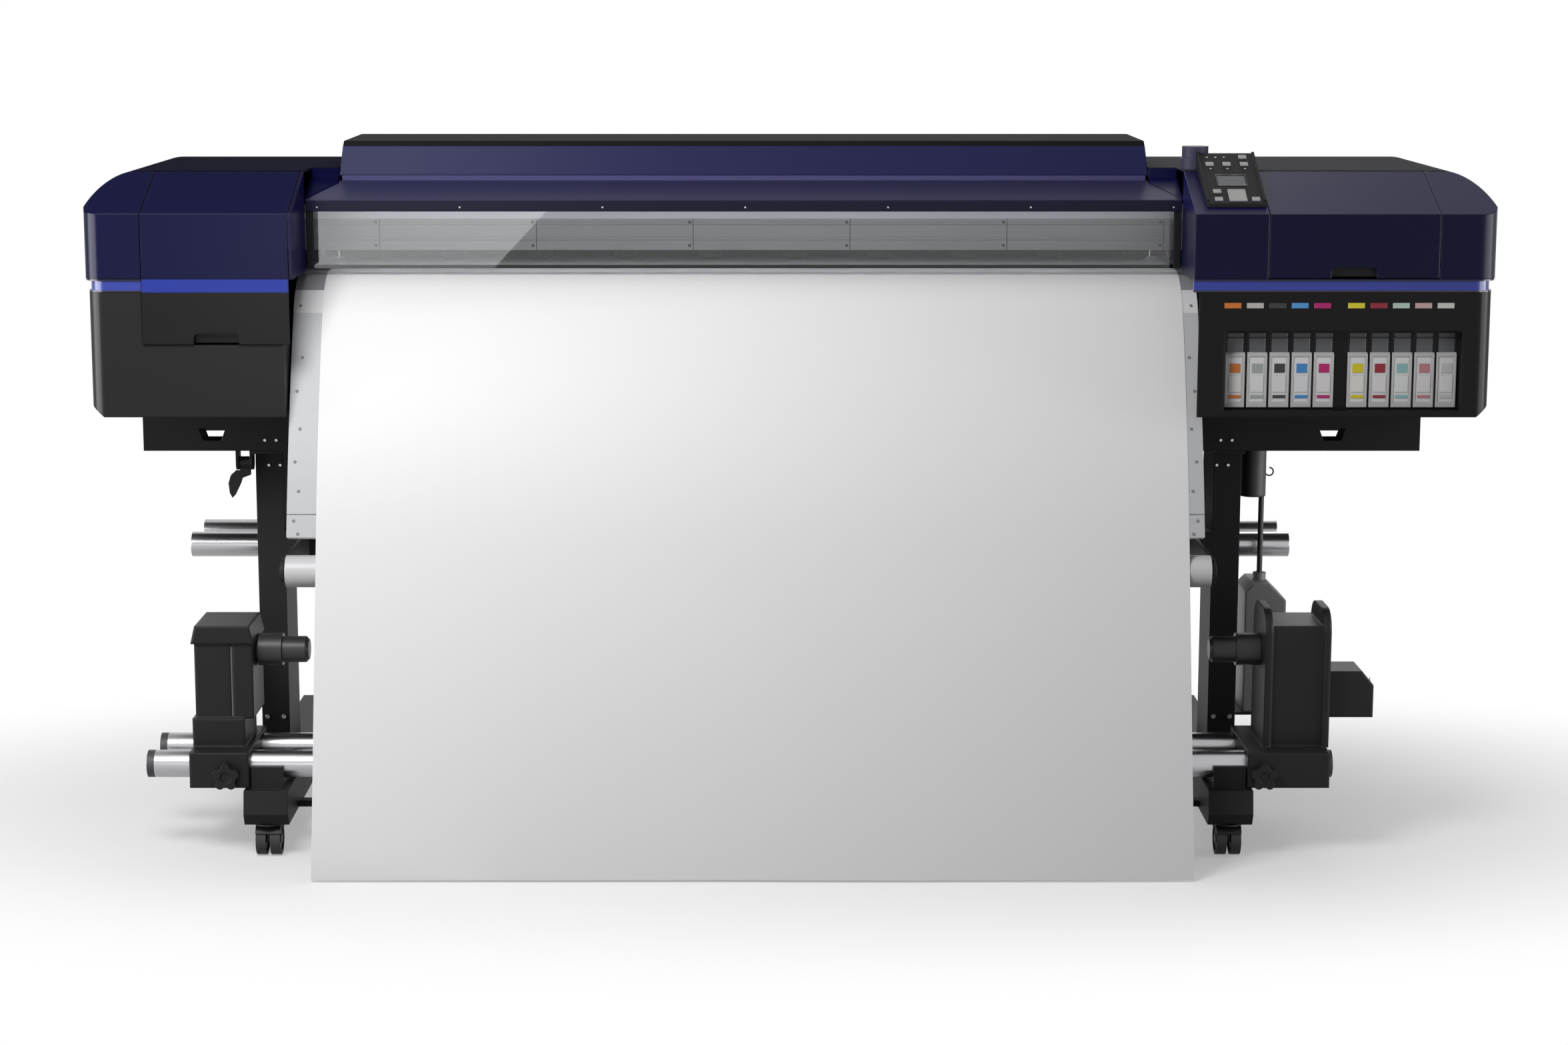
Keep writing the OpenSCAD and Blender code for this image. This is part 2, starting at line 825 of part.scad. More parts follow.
// Ring of a lower cover's walls between two heights
module lower_walls(x_in, x_out, inset, z0, z1) {
    s = sign(x_out - x_in);
    translate([0, 0, z0]) linear_extrude(z1 - z0) difference() {
        cap_plan_2d(x_in, x_out, inset);
        cap_plan_2d(x_in + s * shell, x_out, inset + shell);
    }
}

// Floor of a lower cover
module lower_floor(x_in, x_out) {
    translate([0, 0, body_low]) linear_extrude(shell) cap_plan_2d(x_in, x_out, lower_inset);
}

// Slanted cut at the lower outer corner of a lower cover
module lower_corner_cut(x_out) {
    cut = 26;
    s = sign(x_out);
    along_y(-body_front - eps, body_front + body_back + 2 * eps) polygon([
        [x_out, body_low - eps], [x_out, body_low + cut], [x_out - s * (cut + lower_inset), body_low - eps],
    ]);
}

module left_lower_cover() {
    x_in = x_gap_l - 21;
    color("#2e2e30") difference() {
        union() {
            lower_walls(x_in, x_left, lower_inset, body_low, stripe_low);
            lower_floor(x_in, x_left);
        }
        door_room(door_x_l, left_door_w, left_door_low);
        lower_corner_cut(x_left);
    }
}

module ink_housing() {
    front = -body_front + lower_inset;
    rack_l = cart_x(0) - 2 * rack_t;
    rack_r = cart_x(CARTS - 1) + cart_w + 2 * rack_t;
    pocket_low = cart_low - rack_t;
    rack_back = cart_face + cart_len + rack_t;
    color("#2b2b2d") difference() {
        union() {
            lower_walls(ink_wall_x, x_right, lower_inset, body_low, stripe_low);
            lower_floor(ink_wall_x, x_right);
            box([ink_l, front, body_low], [ink_wall_x + eps, front + shell, stripe_low]);
            box([rack_l, front + eps, body_low + eps], [rack_r, rack_back, rack_top]);
        }
        box([rack_l + rack_t, front - eps, pocket_low],
            [rack_r - rack_t, cart_face + rack_t, rack_top - rack_t]);
        for (i = [0:CARTS - 1]) {
            x = cart_x(i);
            neck_x = x + (cart_w - neck_w) / 2;
            box([x - part_gap, front - eps, cart_low - part_gap],
                [x + cart_w + part_gap, cart_face + cart_len + part_gap, cart_low + cart_h + part_gap]);
            box([neck_x - part_gap, front - eps, cart_low + cart_h - eps],
                [neck_x + neck_w + part_gap, cart_face + neck_d + part_gap, rack_top - rack_t + eps]);
        }
        lower_corner_cut(x_right);
    }
    station_x = park_x - cap_station[0] / 2;
    color("dimgray") box([station_x, -carriage_front + 10, rack_top],
        [station_x + cap_station[0], -carriage_front + 10 + cap_station[1], carriage_low - 3 * part_gap]);
}

// One ink cartridge: a long case with a bevelled front edge, a label panel and a grooved neck
module cartridge(i) {
    x = cart_x(i - 1);
    neck_x = x + (cart_w - neck_w) / 2;
    top = cart_low + cart_h;
    neck_top = top + neck_h - part_gap;
    bevel = 4;
    label_in = 4;
    label_d = 0.8;
    groove = 2;
    neck_front = cart_face + bevel;
    color(["orange", "lightgray", "#303030", "deepskyblue", "mediumvioletred", "gold", "firebrick",
        "paleturquoise", "pink", "white"][i - 1]) {
        difference() {
            along_x(x, cart_w) polygon([
                [cart_face, cart_low], [cart_face, top - bevel], [neck_front, top],
                [cart_face + cart_len, top], [cart_face + cart_len, cart_low],
            ]);
            box([x + label_in, cart_face - eps, cart_low + 2 * label_in],
                [x + cart_w - label_in, cart_face + label_d, top - 2 * label_in]);
        }
        difference() {
            along_x(neck_x, neck_w) polygon([
                [neck_front, top - eps], [neck_front, neck_top - bevel], [neck_front + bevel, neck_top],
                [cart_face + neck_d, neck_top], [cart_face + neck_d, top - eps],
            ]);
            box([neck_x - eps, neck_front - eps, neck_top - neck_h / 3],
                [neck_x + neck_w + eps, neck_front + groove, neck_top - neck_h / 3 + groove]);
        }
    }
}

// One accent stripe round an end cap: a grooved band between its ledges on the lower cover and the cap
module accent_strip(x_in, x_out) {
    s = sign(x_out - x_in);
    x_band = x_out - s * (groove_side - groove_front);
    lower_walls(x_in, x_band, groove_front, stripe_low, stripe_high);
    for (ledge = [[stripe_low, lower_inset], [stripe_high - shell, eps]])
        translate([0, 0, ledge[0]]) linear_extrude(shell) difference() {
            cap_plan_2d(x_in, x_out, ledge[1]);
            cap_plan_2d(x_in, x_out, groove_side + shell + eps);
        }
}

module accent_strips() {
    color("royalblue") {
        difference() {
            accent_strip(x_gap_l, x_left);
            box([door_x_l - door_gap, -body_front - 2 * eps, stripe_low - eps],
                [x_gap_l + eps, body_back - edge_r, stripe_high + eps]);
        }
        difference() {
            accent_strip(x_gap_r, x_right);
            box([x_gap_r - eps, -body_front + groove_side + shell + 2 * eps, stripe_low - eps],
                [door_x_r, body_back - edge_r, stripe_high + eps]);
        }
    }
}

module left_service_door() {
    color("midnightblue") service_door(door_x_l, left_door_w, left_door_low);
}

module right_service_door() {
    color("midnightblue") service_door(door_x_r, right_door_w, right_door_low);
}

// Plan of the front cover: square beside the hinge, then slanting outwards to the lip
module cover_plan_2d() {
    polygon([
        [step_l + cover_gap, -cover_rear], [step_l + cover_gap, -cover_rear - cover_square],
        [x_gap_l + cover_gap, -cover_front],
        [x_gap_l + cover_gap, -cover_front - window_t], [x_gap_r - cover_gap, -cover_front - window_t],
        [x_gap_r - cover_gap, -cover_front], [step_r - cover_gap, -cover_rear - cover_square],
        [step_r - cover_gap, -cover_rear],
    ]);
}

module front_cover() {
    skin = [[-cover_rear, cover_rear_z], [-cover_front - window_t / 2, lip_high]];
    frame_front = -cover_front - window_t / 2;
    inner_l = x_gap_l + cover_gap;
    inner_r = x_gap_r - cover_gap;
    rail = 6;
    color("#20204a") intersection() {
        linear_extrude(body_top) cover_plan_2d();
        along_x(x_gap_l, gap_w) polygon([
            skin[0], skin[1], [skin[1][0], lip_low], [skin[1][0] + shell, lip_low],
            [skin[1][0] + shell, lip_high - shell], [skin[0][0], skin[0][1] - shell],
        ]);
    }
    color("#1c1c1e") {
        for (x = [inner_l, inner_r - frame_w])
            box([x, frame_front + shell, window_low], [x + frame_w, frame_front + frame_d, lip_low + eps]);
        box([inner_l, frame_front + shell, lip_low],
            [inner_r, frame_front + frame_d, lip_low + rail]);
        box([inner_l, frame_front + shell + window_t, window_low],
            [inner_r, frame_front + frame_d, window_low + rail]);
    }
    color("dimgray") for (side = [-1, 1]) {
        x0 = side < 0 ? step_l + cover_gap : step_r - cover_gap - hinge_lug;
        boss_front = -cover_rear - hinge_lug;
        pin_len = hinge_lug_in + hinge_lug + cover_gap;
        pin_x = side < 0 ? step_l + cover_gap - pin_len + eps : step_r - cover_gap - eps;
        bar_x(hinge_pin_r, pin_x, pin_len, -hinge_y, hinge_z);
        bar_x(hinge_pin_r + 2, x0, hinge_lug, -hinge_y, hinge_z);
        box([x0, boss_front, hinge_z - hinge_pin_r],
            [x0 + hinge_lug, -hinge_y, hinge_z + hinge_pin_r]);
        along_x(x0, hinge_lug) polygon([
            [-cover_rear, cover_rear_z - shell / 2], [boss_front, skin_z(boss_front)],
            [boss_front, hinge_z], [-cover_rear, hinge_z],
        ]);
    }
}

module cover_window() {
    y = -cover_front - window_t / 2 + shell;
    x0 = x_gap_l + cover_gap + frame_w;
    color("lightsteelblue", 0.35)
        box([x0, y, window_low], [x_gap_r - cover_gap - frame_w, y + window_t, lip_low]);
}

module top_cover() {
    draft = 7;
    bevel = 10;
    l = step_l + part_gap;
    r = step_r - part_gap;
    color("#242450") difference() {
        intersection() {
            along_x(l, r - l) top_cover_side_2d(0, bevel);
            along_y(-top_front - eps, top_front + top_cover_back + 2 * eps)
                polygon([[l, top_low], [l + draft, top_cover_z], [r - draft, top_cover_z], [r, top_low]]);
        }
        intersection() {
            along_x(l, r - l) top_cover_side_2d(shell, bevel);
            along_y(-top_front - eps, top_front + top_cover_back + 2 * eps)
                polygon([[l + shell, top_low - eps], [l + shell + draft, top_cover_z],
                    [r - shell - draft, top_cover_z], [r - shell, top_low - eps]]);
        }
    }
}

// Side outline of the raised top cover, t inside its skin
module top_cover_side_2d(t, bevel) {
    lean = 14;
    low = t > 0 ? top_low - eps : top_low;
    polygon([
        [-top_front + t, low], [-top_front + lean + t, top_cover_z - bevel],
        [-top_front + lean + bevel + t, top_cover_z - t], [top_cover_back - t, top_cover_z - t],
        [top_cover_back - t, low],
    ]);
}

module rear_cover() {
    lean = body_back - top_cover_back;
    hem = 15;
    tuck = body_top - shell - part_gap;
    color("#232327") along_x(x_gap_l + part_gap, gap_w - 2 * part_gap) {
        polygon([
            [body_back, rear_low], [body_back, body_top - lean], [body_back - shell, body_top - lean],
            [body_back - shell, rear_low + shell], [body_back - hem, rear_low + hem],
            [body_back - hem - shell, rear_low + hem - shell],
        ]);
        polygon([
            [body_back, body_top - lean], [top_cover_back + part_gap, tuck],
            [top_cover_back + part_gap, tuck - shell], [body_back - shell, body_top - lean - shell],
        ]);
    }
    color("#232327") along_x(step_l + part_gap, step_r - step_l - 2 * part_gap)
        span_rect([top_cover_back, tuck - shell], [top_cover_back + shell, top_cover_z - 2 * shell]);
}

// Control panel frame: x across the panel, y up its slope, z off its face
module on_panel() {
    translate([panel_mid, -panel_front, panel_z0]) rotate([panel_angle, 0, 0]) children();
}

module control_panel() {
    deep = 9;
    color("#33333a") difference() {
        along_x(panel_l, panel_w) polygon([
            [-panel_front, panel_seat], [-panel_front, panel_z0], [-panel_back, panel_z],
            [-panel_back, body_top], [-slope_back, body_top],
        ]);
        on_panel() {
            translate([0, screen_v, 0]) cube([screen_w, screen_l, 2 * screen_d], center = true);
            for (k = KEYS) translate([k[1], k[2], 0])
                cube([k[3] + 2 * key_slack, k[4] + 2 * key_slack, 2 * key_well], center = true);
        }
    }
    color("#2a2a58") on_panel() for (x = [-panel_w / 2, panel_w / 2 - panel_rim])
        translate([x, deep, -eps]) cube([panel_rim, panel_len - deep, shell + eps]);
    lamp_rim = 2;
    lamp_in = lamp_r + lamp_rim + part_gap;
    color("#3b3b40") translate([x_gap_r + lamp_in, -panel_back + lamp_in, body_top]) {
        cylinder(r = lamp_r + lamp_rim, h = lamp_h / 2);
        cylinder(r = lamp_r, h = lamp_h);
    }
}

// One sprung key, standing key_h above the panel
module key(k) {
    floor_gap = 2 * key_travel;
    color("gainsboro") on_panel() translate([k[1] - k[3] / 2, k[2] - k[4] / 2, floor_gap - key_well])
        cube([k[3], k[4], key_well - floor_gap + key_h]);
}

module platen() {
    low = platen_z - platen_h;
    back = platen_back;
    well = grit_slot / 2;
    w = platen_wall;
    lift_block = 2 * (lift_shaft_r + lift_wall);
    color("silver") {
        difference() {
            along_x(heat_l, heat_w) polygon([
                [-platen_front, low], [back, low], [back, platen_z], [-platen_front, platen_z],
            ]);
            along_x(heat_l + bearing_t, heat_w - 2 * bearing_t) {
                span_rect([-platen_front + w, low + w], [grit_y - well - w, platen_z - w]);
                span_rect([grit_y - well, low + w], [grit_y + well, platen_z + eps]);
                span_rect([grit_y + well + w, low + w], [back - w, platen_z - w]);
            }
            bar_x(grit_journal_r + run_gap, heat_l - eps, heat_w + 2 * eps, grit_y, grit_z);
        }
        along_x(heat_l, heat_w) {
            polygon(concat(pre_line(0), reversed(pre_line(-shell))));
            span_rect([pre_y - shell, body_low], [pre_y, platen_z - pre_r]);
        }
        for (x = [heat_l, heat_r - bearing_t]) difference() {
            box([x, lift_y - lift_block / 2, platen_z],
                [x + bearing_t, min(lift_y + lift_block / 2, platen_back), lift_z + lift_block / 2]);
            bar_x(lift_shaft_r + run_gap, x - eps, bearing_t + 2 * eps, lift_y, lift_z);
        }
    }
}

module after_heater() {
    groove_a = lip_seam + lip_groove / heater_long_r * 180 / PI;
    end_wall = 8;
    open_end = heater_end - 0.3;
    color("gainsboro") difference() {
        along_x(heat_l, heat_w)
            polygon(concat(heater_line(0, heater_end), reversed(heater_line(-heater_t, heater_end))));
        along_x(heat_l - eps, heat_w + 2 * eps) polygon([
            long_pt(lip_seam, eps), long_pt(groove_a, eps), long_pt(groove_a, -lip_groove),
            long_pt(lip_seam, -lip_groove),
        ]);
        along_x(heat_l + end_wall, heat_w - 2 * end_wall) polygon(concat(
            heater_line(-shell, open_end), reversed(heater_line(-heater_t - eps, open_end))));
    }
}

// Brackets from the front chassis beam to the back of the heater
module heater_brackets() {
    t = 6;
    low = chassis_low + 10;
    side = 60;
    clear = 50;
    seat = shell + 0.2;
    for (x = [heat_l + side, stand_mid, heat_r - side - t]) difference() {
        box([x, -body_front, low], [x + t, -chassis_front, chassis_top]);
        along_x(x - eps, t + 2 * eps) polygon(concat(
            heater_line(-seat, heater_end), [drop_pt(0, low - clear)],
            [[-body_front - clear, low - clear], [-body_front - clear, platen_z]]));
    }
}

module chassis() {
    side_t = 8;
    plate_in = 2;
    plate_front = -platen_front + 35;
    plate_back = platen_back + 60;
    column_in = 5;
    color("#2a2a2c") {
        for (y = [-chassis_front, chassis_rear]) difference() {
            along_x(chassis_l, chassis_r - chassis_l) difference() {
                span_rect([y, chassis_low], [y + beam_width, chassis_top]);
                span_rect([y + chassis_wall, chassis_low + chassis_wall],
                    [y + beam_width - chassis_wall, chassis_top - chassis_wall]);
            }
            for (x = [handle_l, handle_r]) along_y(y - eps, beam_width + 2 * eps) polygon([
                [x - handle_w / 2, handle_low + handle_h], [x + handle_w / 2, handle_low + handle_h],
                [x + handle_w / 3, handle_low], [x - handle_w / 3, handle_low],
            ]);
        }
        box([chassis_l, -tray_front, chassis_top], [chassis_r, pre_y - eps, body_low]);
        for (x = [heat_l + plate_in, heat_r - plate_in - side_t])
            box([x, plate_front, body_low], [x + side_t, plate_back, platen_z - platen_h]);
        for (x = [beam_l + column_in, beam_r - column_in - column_w])
            box([x, beam_y + beam_d, body_low + shell], [x + column_w, beam_y + beam_d + column_d, beam_top]);
        heater_brackets();
        lever_bracket();
    }
}

// Ears under the front chassis beam that carry the media lever
module lever_bracket() {
    for (x = [lever_x - lever_cheek - part_gap, lever_x + lever_w + part_gap]) difference() {
        union() {
            box([x, lever_y - lever_ear_r, lever_z], [x + lever_cheek, lever_y + lever_ear_r, chassis_low]);
            bar_x(lever_ear_r, x, lever_cheek, lever_y, lever_z);
        }
        bar_x(lever_pin_r + run_gap, x - eps, lever_cheek + 2 * eps, lever_y, lever_z);
    }
}

// Media loading lever: a bent grip on a pin
module media_lever() {
    reach = lever_cheek + part_gap;
    color("#202022") {
        bar_x(lever_pin_r, lever_x - reach, lever_w + 2 * reach, lever_y, lever_z);
        bar_x(lever_hub_r, lever_x, lever_w, lever_y, lever_z);
        along_y(lever_y - lever_t / 2, lever_t) translate([lever_x, lever_z]) polygon(LEVER_GRIP);
    }
}

// Grit roller: a shaft with a sleeve under each pinch roller
module grit_roller() {
    color("darkgray") {
        bar_x(grit_core_r, heat_l + bearing_t + part_gap, heat_w - 2 * (bearing_t + part_gap),
            grit_y, grit_z);
        bar_x(grit_journal_r, heat_l, heat_w, grit_y, grit_z);
        for (i = [0:pinch_count - 1])
            bar_x(grit_r, pinch_first + i * pinch_step - sleeve_l / 2, sleeve_l, grit_y, grit_z);
    }
}

// Lift shaft with one forked arm to each pinch roller
module pinch_arms() {
    cheek = 5;
    hub_r = lift_shaft_r + lift_wall;
    eye_r = pinch_axle_r + 3;
    hub_half = hub_r - 2;
    eye_half = eye_r - 1;
    color("#3a3a3c") {
        bar_x(lift_shaft_r, heat_l, heat_w, lift_y, lift_z);
        for (i = [0:pinch_count - 1]) {
            x = pinch_first + i * pinch_step;
            bar_x(hub_r - 1, x - pinch_l / 2 - cheek / 2, pinch_l + cheek, lift_y, lift_z);
            for (cx = [x - pinch_l / 2 - cheek - part_gap, x + pinch_l / 2 + part_gap])
                along_x(cx, cheek) {
                    polygon([
                        [lift_y, lift_z + hub_half], [grit_y, pinch_z + eye_half],
                        [grit_y, pinch_z - eye_half], [lift_y, lift_z - hub_half],
                    ]);
                    translate([lift_y, lift_z]) circle(hub_r);
                    translate([grit_y, pinch_z]) circle(eye_r);
                }
            bar_x(pinch_axle_r, x - pinch_l / 2 - cheek, pinch_l + 2 * cheek, grit_y, pinch_z);
        }
    }
}

module pinch_rollers() {
    color("#252525") for (i = [0:pinch_count - 1]) {
        x = pinch_first + i * pinch_step - pinch_l / 2;
        difference() {
            bar_x(pinch_r, x, pinch_l, grit_y, pinch_z);
            bar_x(pinch_axle_r + run_gap, x - eps, pinch_l + 2 * eps, grit_y, pinch_z);
        }
    }
}

module guide_roller() {
    reach = arm_t + 2;
    color("gainsboro") {
        bar_x(guide_r, stand_mid - guide_half, 2 * guide_half, guide_c[0], guide_c[1]);
        bar_x(guide_journal_r, stand_mid - guide_half - reach, 2 * (guide_half + reach),
            guide_c[0], guide_c[1]);
    }
}

module carriage_beam() {
    wall = 4;
    slot_d = 3;
    color("lightgray") {
        difference() {
            along_x(beam_l, beam_r - beam_l) difference() {
                span_rect([beam_y, beam_low], [beam_y + beam_d, beam_top]);
                span_rect([beam_y + wall + slot_d, beam_low + wall],
                    [beam_y + beam_d - wall, beam_top - wall]);
                for (z = [beam_low + beam_h * 0.3, beam_low + beam_h * 0.7])
                    span_rect([beam_y - eps, z - slot_d], [beam_y + slot_d, z + slot_d]);
            }
        }
        box([beam_l, rail_front, beam_top], [beam_r, rail_front + rail_w, beam_top + rail_h]);
    }
}

// Print carriage: a head box in front of the beam and a saddle over the rail
module carriage() {
    l = park_x - carriage_w / 2;
    r = park_x + carriage_w / 2;
    roof = beam_top + rail_h + 12;
    saddle_back = rail_front + rail_w + 14;
    bevel = 20;
    back = beam_y - 2 * part_gap;
    color("#2c2c30") difference() {
        union() {
            along_x(l, carriage_w) polygon([
                [-carriage_front, carriage_low], [-carriage_front, roof - bevel],
                [-carriage_front + bevel, roof], [back, roof], [back, carriage_low],
            ]);
            box([l, back - eps, beam_top + part_gap], [r, saddle_back, roof]);
        }
        box([l - eps, rail_front - part_gap, beam_top],
            [r + eps, rail_front + rail_w + part_gap, beam_top + rail_h + part_gap]);
    }
}

// One leg of the stand: post, foot, rail seats and the arm that carries the guide roller
module leg(side) {
    px = stand_mid + side * post_off;
    fx = stand_mid + side * foot_off;
    ax = stand_mid + side * (arm_off + arm_t / 2);
    post_in = px - side * post_w / 2;
    root = min(post_in, ax - side * arm_t / 2);
    feed_pad = feed_rail_r + saddle_pad;
    bevel = 8;
    toe = foot_low + foot_h / 3;
    difference() {
        union() {
            box([px - post_w / 2, -post_front, foot_top], [px + post_w / 2, -post_front + post_d, post_top]);
            along_x(fx - foot_w / 2, foot_w) polygon([
                [-foot_front, toe], [-foot_front + bevel, foot_top], [foot_back - bevel, foot_top],
                [foot_back, toe], [foot_back - 2.5 * bevel, foot_low], [-foot_front + 1.5 * bevel, foot_low],
            ]);
            box([px - post_w / 2, -chassis_front, post_top],
                [px + post_w / 2, chassis_rear + beam_width, chassis_low]);
            box([fx - saddle_w / 2, -take_rail_front - take_rail_r - saddle_pad, foot_top],
                [fx + saddle_w / 2, take_back + take_rail_r + saddle_pad, foot_top + saddle_h]);
            box([root, -post_front, guide_c[1] - arm_root],
                [root + abs(post_in - ax) + arm_t / 2, arm_back, guide_c[1] + arm_root]);
            along_x(ax - arm_t / 2, arm_t) {
                span_rect([guide_c[0], guide_c[1] - arm_eye_r], [arm_back, guide_c[1] + arm_eye_r]);
                translate(guide_c) circle(arm_eye_r);
            }
            along_x(px - post_w / 2, post_w) {
                span_rect([-post_front + post_d, feed_rail_z - feed_pad],
                    [feed_back, feed_rail_z + feed_pad]);
                translate([feed_back, feed_rail_z]) circle(feed_pad);
            }
        }
        for (y = [-take_rail_front, take_back])
            bar_x(take_rail_r + part_gap / 2, fx - foot_w, 2 * foot_w, y, take_rail_z);
        for (y = [feed_rail_front, feed_back])
            bar_x(feed_rail_r + part_gap / 2, px - post_w, 2 * post_w, y, feed_rail_z);
        bar_x(guide_journal_r + run_gap, ax - arm_t, 2 * arm_t, guide_c[0], guide_c[1]);
        for (y = [caster_front, caster_rear])
            translate([fx, y, foot_low - eps]) cylinder(r = stem_r + run_gap, h = stem_h + 2 * eps);
    }
}

module stand() {
    bar_y = -262;
    bar_d = 24;
    bar_h = 12;
    bar_low = foot_low + 4;
    color("#2a2a2c") {
        for (side = [-1, 1]) leg(side);
        box([stand_mid - foot_off + foot_w / 2, bar_y, bar_low],
            [stand_mid + foot_off - foot_w / 2, bar_y + bar_d, bar_low + bar_h]);
        bottle_shelf();
    }
}

// Shelf on the right post that carries the waste bottle
module bottle_shelf() {
    post_out = stand_mid + post_off + post_w / 2;
    t = 5;
    web_h = 90;
    corner = [post_out, bottle_y - t, bottle_low - t];
    box(corner, [bottle_x + bottle_w + t, bottle_y + bottle_d + t, bottle_low]);
    box(corner, [post_out + t, bottle_y + bottle_d / 2, bottle_low + web_h]);
}

// A swivelling fork with a hood over a pair of wheels
module caster_fork(i) {
    c = CASTERS[i - 1];
    top = foot_low - part_gap;
    x = stand_mid + c[0] * foot_off;
    axle_y = c[1] + caster_trail;
    hood_in = wheel_r + hood_gap;
    hood = hood_in + hood_t;
    half = fork_core / 2 + wheel_w + 2 * part_gap;
    color("#242426") difference() {
        union() {
            translate([x, c[1], top - fork_plate]) {
                cylinder(r = fork_r, h = fork_plate);
                cylinder(r = stem_r, h = fork_plate + part_gap + stem_h);
            }
            box([x - fork_core / 2, c[1] - fork_boss, wheel_r],
                [x + fork_core / 2, axle_y + fork_boss, top - fork_plate / 2]);
            bar_x(fork_boss, x - fork_core / 2, fork_core, axle_y, wheel_r);
            intersection() {
                difference() {
                    bar_x(hood, x - half, 2 * half, axle_y, wheel_r);
                    bar_x(hood_in, x - half - eps, half + eps - fork_core / 2, axle_y, wheel_r);
                    bar_x(hood_in, x + fork_core / 2, half + eps, axle_y, wheel_r);
                }
                box([x - half, axle_y - hood, wheel_r + hood_low], [x + half, axle_y + hood, top - hood_top]);
            }
        }
        bar_x(axle_r + run_gap, x - half, 2 * half, axle_y, wheel_r);
    }
}

// A pair of caster wheels, dished on both faces, on one axle
module caster_wheels(i) {
    dish = 3;
    tread = 6;
    boss_r = 9;
    c = CASTERS[i - 1];
    x = stand_mid + c[0] * foot_off;
    axle_y = c[1] + caster_trail;
    inner = fork_core / 2 + part_gap;
    color("#3c3c3e") {
        bar_x(axle_r, x - inner - wheel_w, 2 * (inner + wheel_w), axle_y, wheel_r);
        for (x0 = [x - inner - wheel_w, x + inner]) difference() {
            bar_x(wheel_r, x0, wheel_w, axle_y, wheel_r);
            for (xr = [x0 - eps, x0 + wheel_w - dish]) difference() {
                bar_x(wheel_r - tread, xr, dish + eps, axle_y, wheel_r);
                bar_x(boss_r, xr - eps, dish + 3 * eps, axle_y, wheel_r);
            }
        }
    }
}

// Rail tubes with end caps
module rail_tube(r, x0, len, y, z) {
    wall = 3;
    cap = 14;
    difference() {
        bar_x(r, x0, len, y, z);
        bar_x(r - wall, x0 + cap, len - 2 * cap, y, z);
    }
}

module guide_rails() {
    color("silver") {
        for (y = [-take_rail_front, take_back]) rail_tube(take_rail_r, take_l, take_rail_len, y, take_rail_z);
        for (y = [feed_rail_front, feed_back]) rail_tube(feed_rail_r, feed_l, feed_rail_len, y, feed_rail_z);
    }
}

// Clamp block of a take-up housing, bored for both rails and for its clamp screw
module take_clamp(x0, w, knob_x) {
    back = take_back + take_rail_r + clamp_pad / 2;
    difference() {
        box([x0, clamp_front, clamp_low], [x0 + w, back, clamp_low + clamp_h]);
        for (y = [-take_rail_front, take_back])
            bar_x(take_rail_r + part_gap / 2, x0 - eps, w + 2 * eps, y, take_rail_z);
        bar_y(knob_stem_r + run_gap, knob_x, clamp_front - eps, clamp_pad - 2, knob_z);
    }
}

// Star knob on a clamp screw
module clamp_knob(x) {
    lobes = 5;
    lobe_r = 0.32 * knob_r;
    lobe_off = knob_r - lobe_r;
    dimple = 3;
    face_y = clamp_front - part_gap - knob_l;
    color("#1d1d1f") {
        difference() {
            union() {
                bar_y(0.75 * knob_r, x, face_y, knob_l, knob_z);
                for (i = [0:lobes - 1]) let (a = 90 + 360 * i / lobes)
                    bar_y(lobe_r, x + lobe_off * cos(a), face_y, knob_l, knob_z + lobe_off * sin(a));
            }
            bar_y(0.4 * knob_r, x, face_y - eps, dimple + eps, knob_z);
        }
        bar_y(knob_stem_r, x, clamp_front - 2, clamp_pad - 6, knob_z);
    }
}

module idler_housing() {
    depth = take_rail_gap;
    y0 = take_mid - depth / 2;
    base = clamp_low + clamp_h;
    lid = 34;
    flare = 8;
    plinth = 55;
    waist = 20;
    step = 6;
    groove_x = 74;
    groove_w = 3;
    color("#29292b") difference() {
        union() {
            take_clamp(idler_l, idler_clamp_w, knob_l_x);
            box([idler_l, y0, base], [idler_l + idler_w - waist, y0 + depth, base + plinth]);
            box([idler_l + step, y0 + step, base + plinth - eps],
                [idler_l + idler_w - step / 2, y0 + depth - step, idler_top - lid]);
            along_y(y0, depth) polygon([
                [idler_l, idler_top - lid], [idler_l + idler_w, idler_top - lid],
                [idler_l + idler_w - flare, idler_top], [idler_l + flare, idler_top],
            ]);
        }
        bar_x(hub_r + run_gap, idler_l + idler_w - hub_hole, hub_hole + eps, take_mid, take_axis_z);
        box([idler_l + groove_x, y0, base + plinth + groove_w],
            [idler_l + groove_x + groove_w, y0 + step + groove_w, idler_top - lid - groove_w]);
    }
}

// Core plug of the take-up unit: a shaft, a collar and a plug with a bevelled nose
module take_plug(x0, dir) {
    nose = 6;
    translate([x0, take_mid, take_axis_z]) rotate([0, dir * 90, 0]) {
        translate([0, 0, -hub_seat]) cylinder(r = hub_r, h = hub_seat + collar_len);
        cylinder(r = collar_r, h = collar_len);
        cylinder(r = plug_r, h = plug_len - nose);
        translate([0, 0, plug_len - nose]) cylinder(r1 = plug_r, r2 = plug_r - nose, h = nose);
    }
}

module idler_hub() {
    color("#38383a") take_plug(idler_l + idler_w + part_gap, 1);
}

module drive_hub() {
    color("#38383a") take_plug(drive_l - part_gap, -1);
}

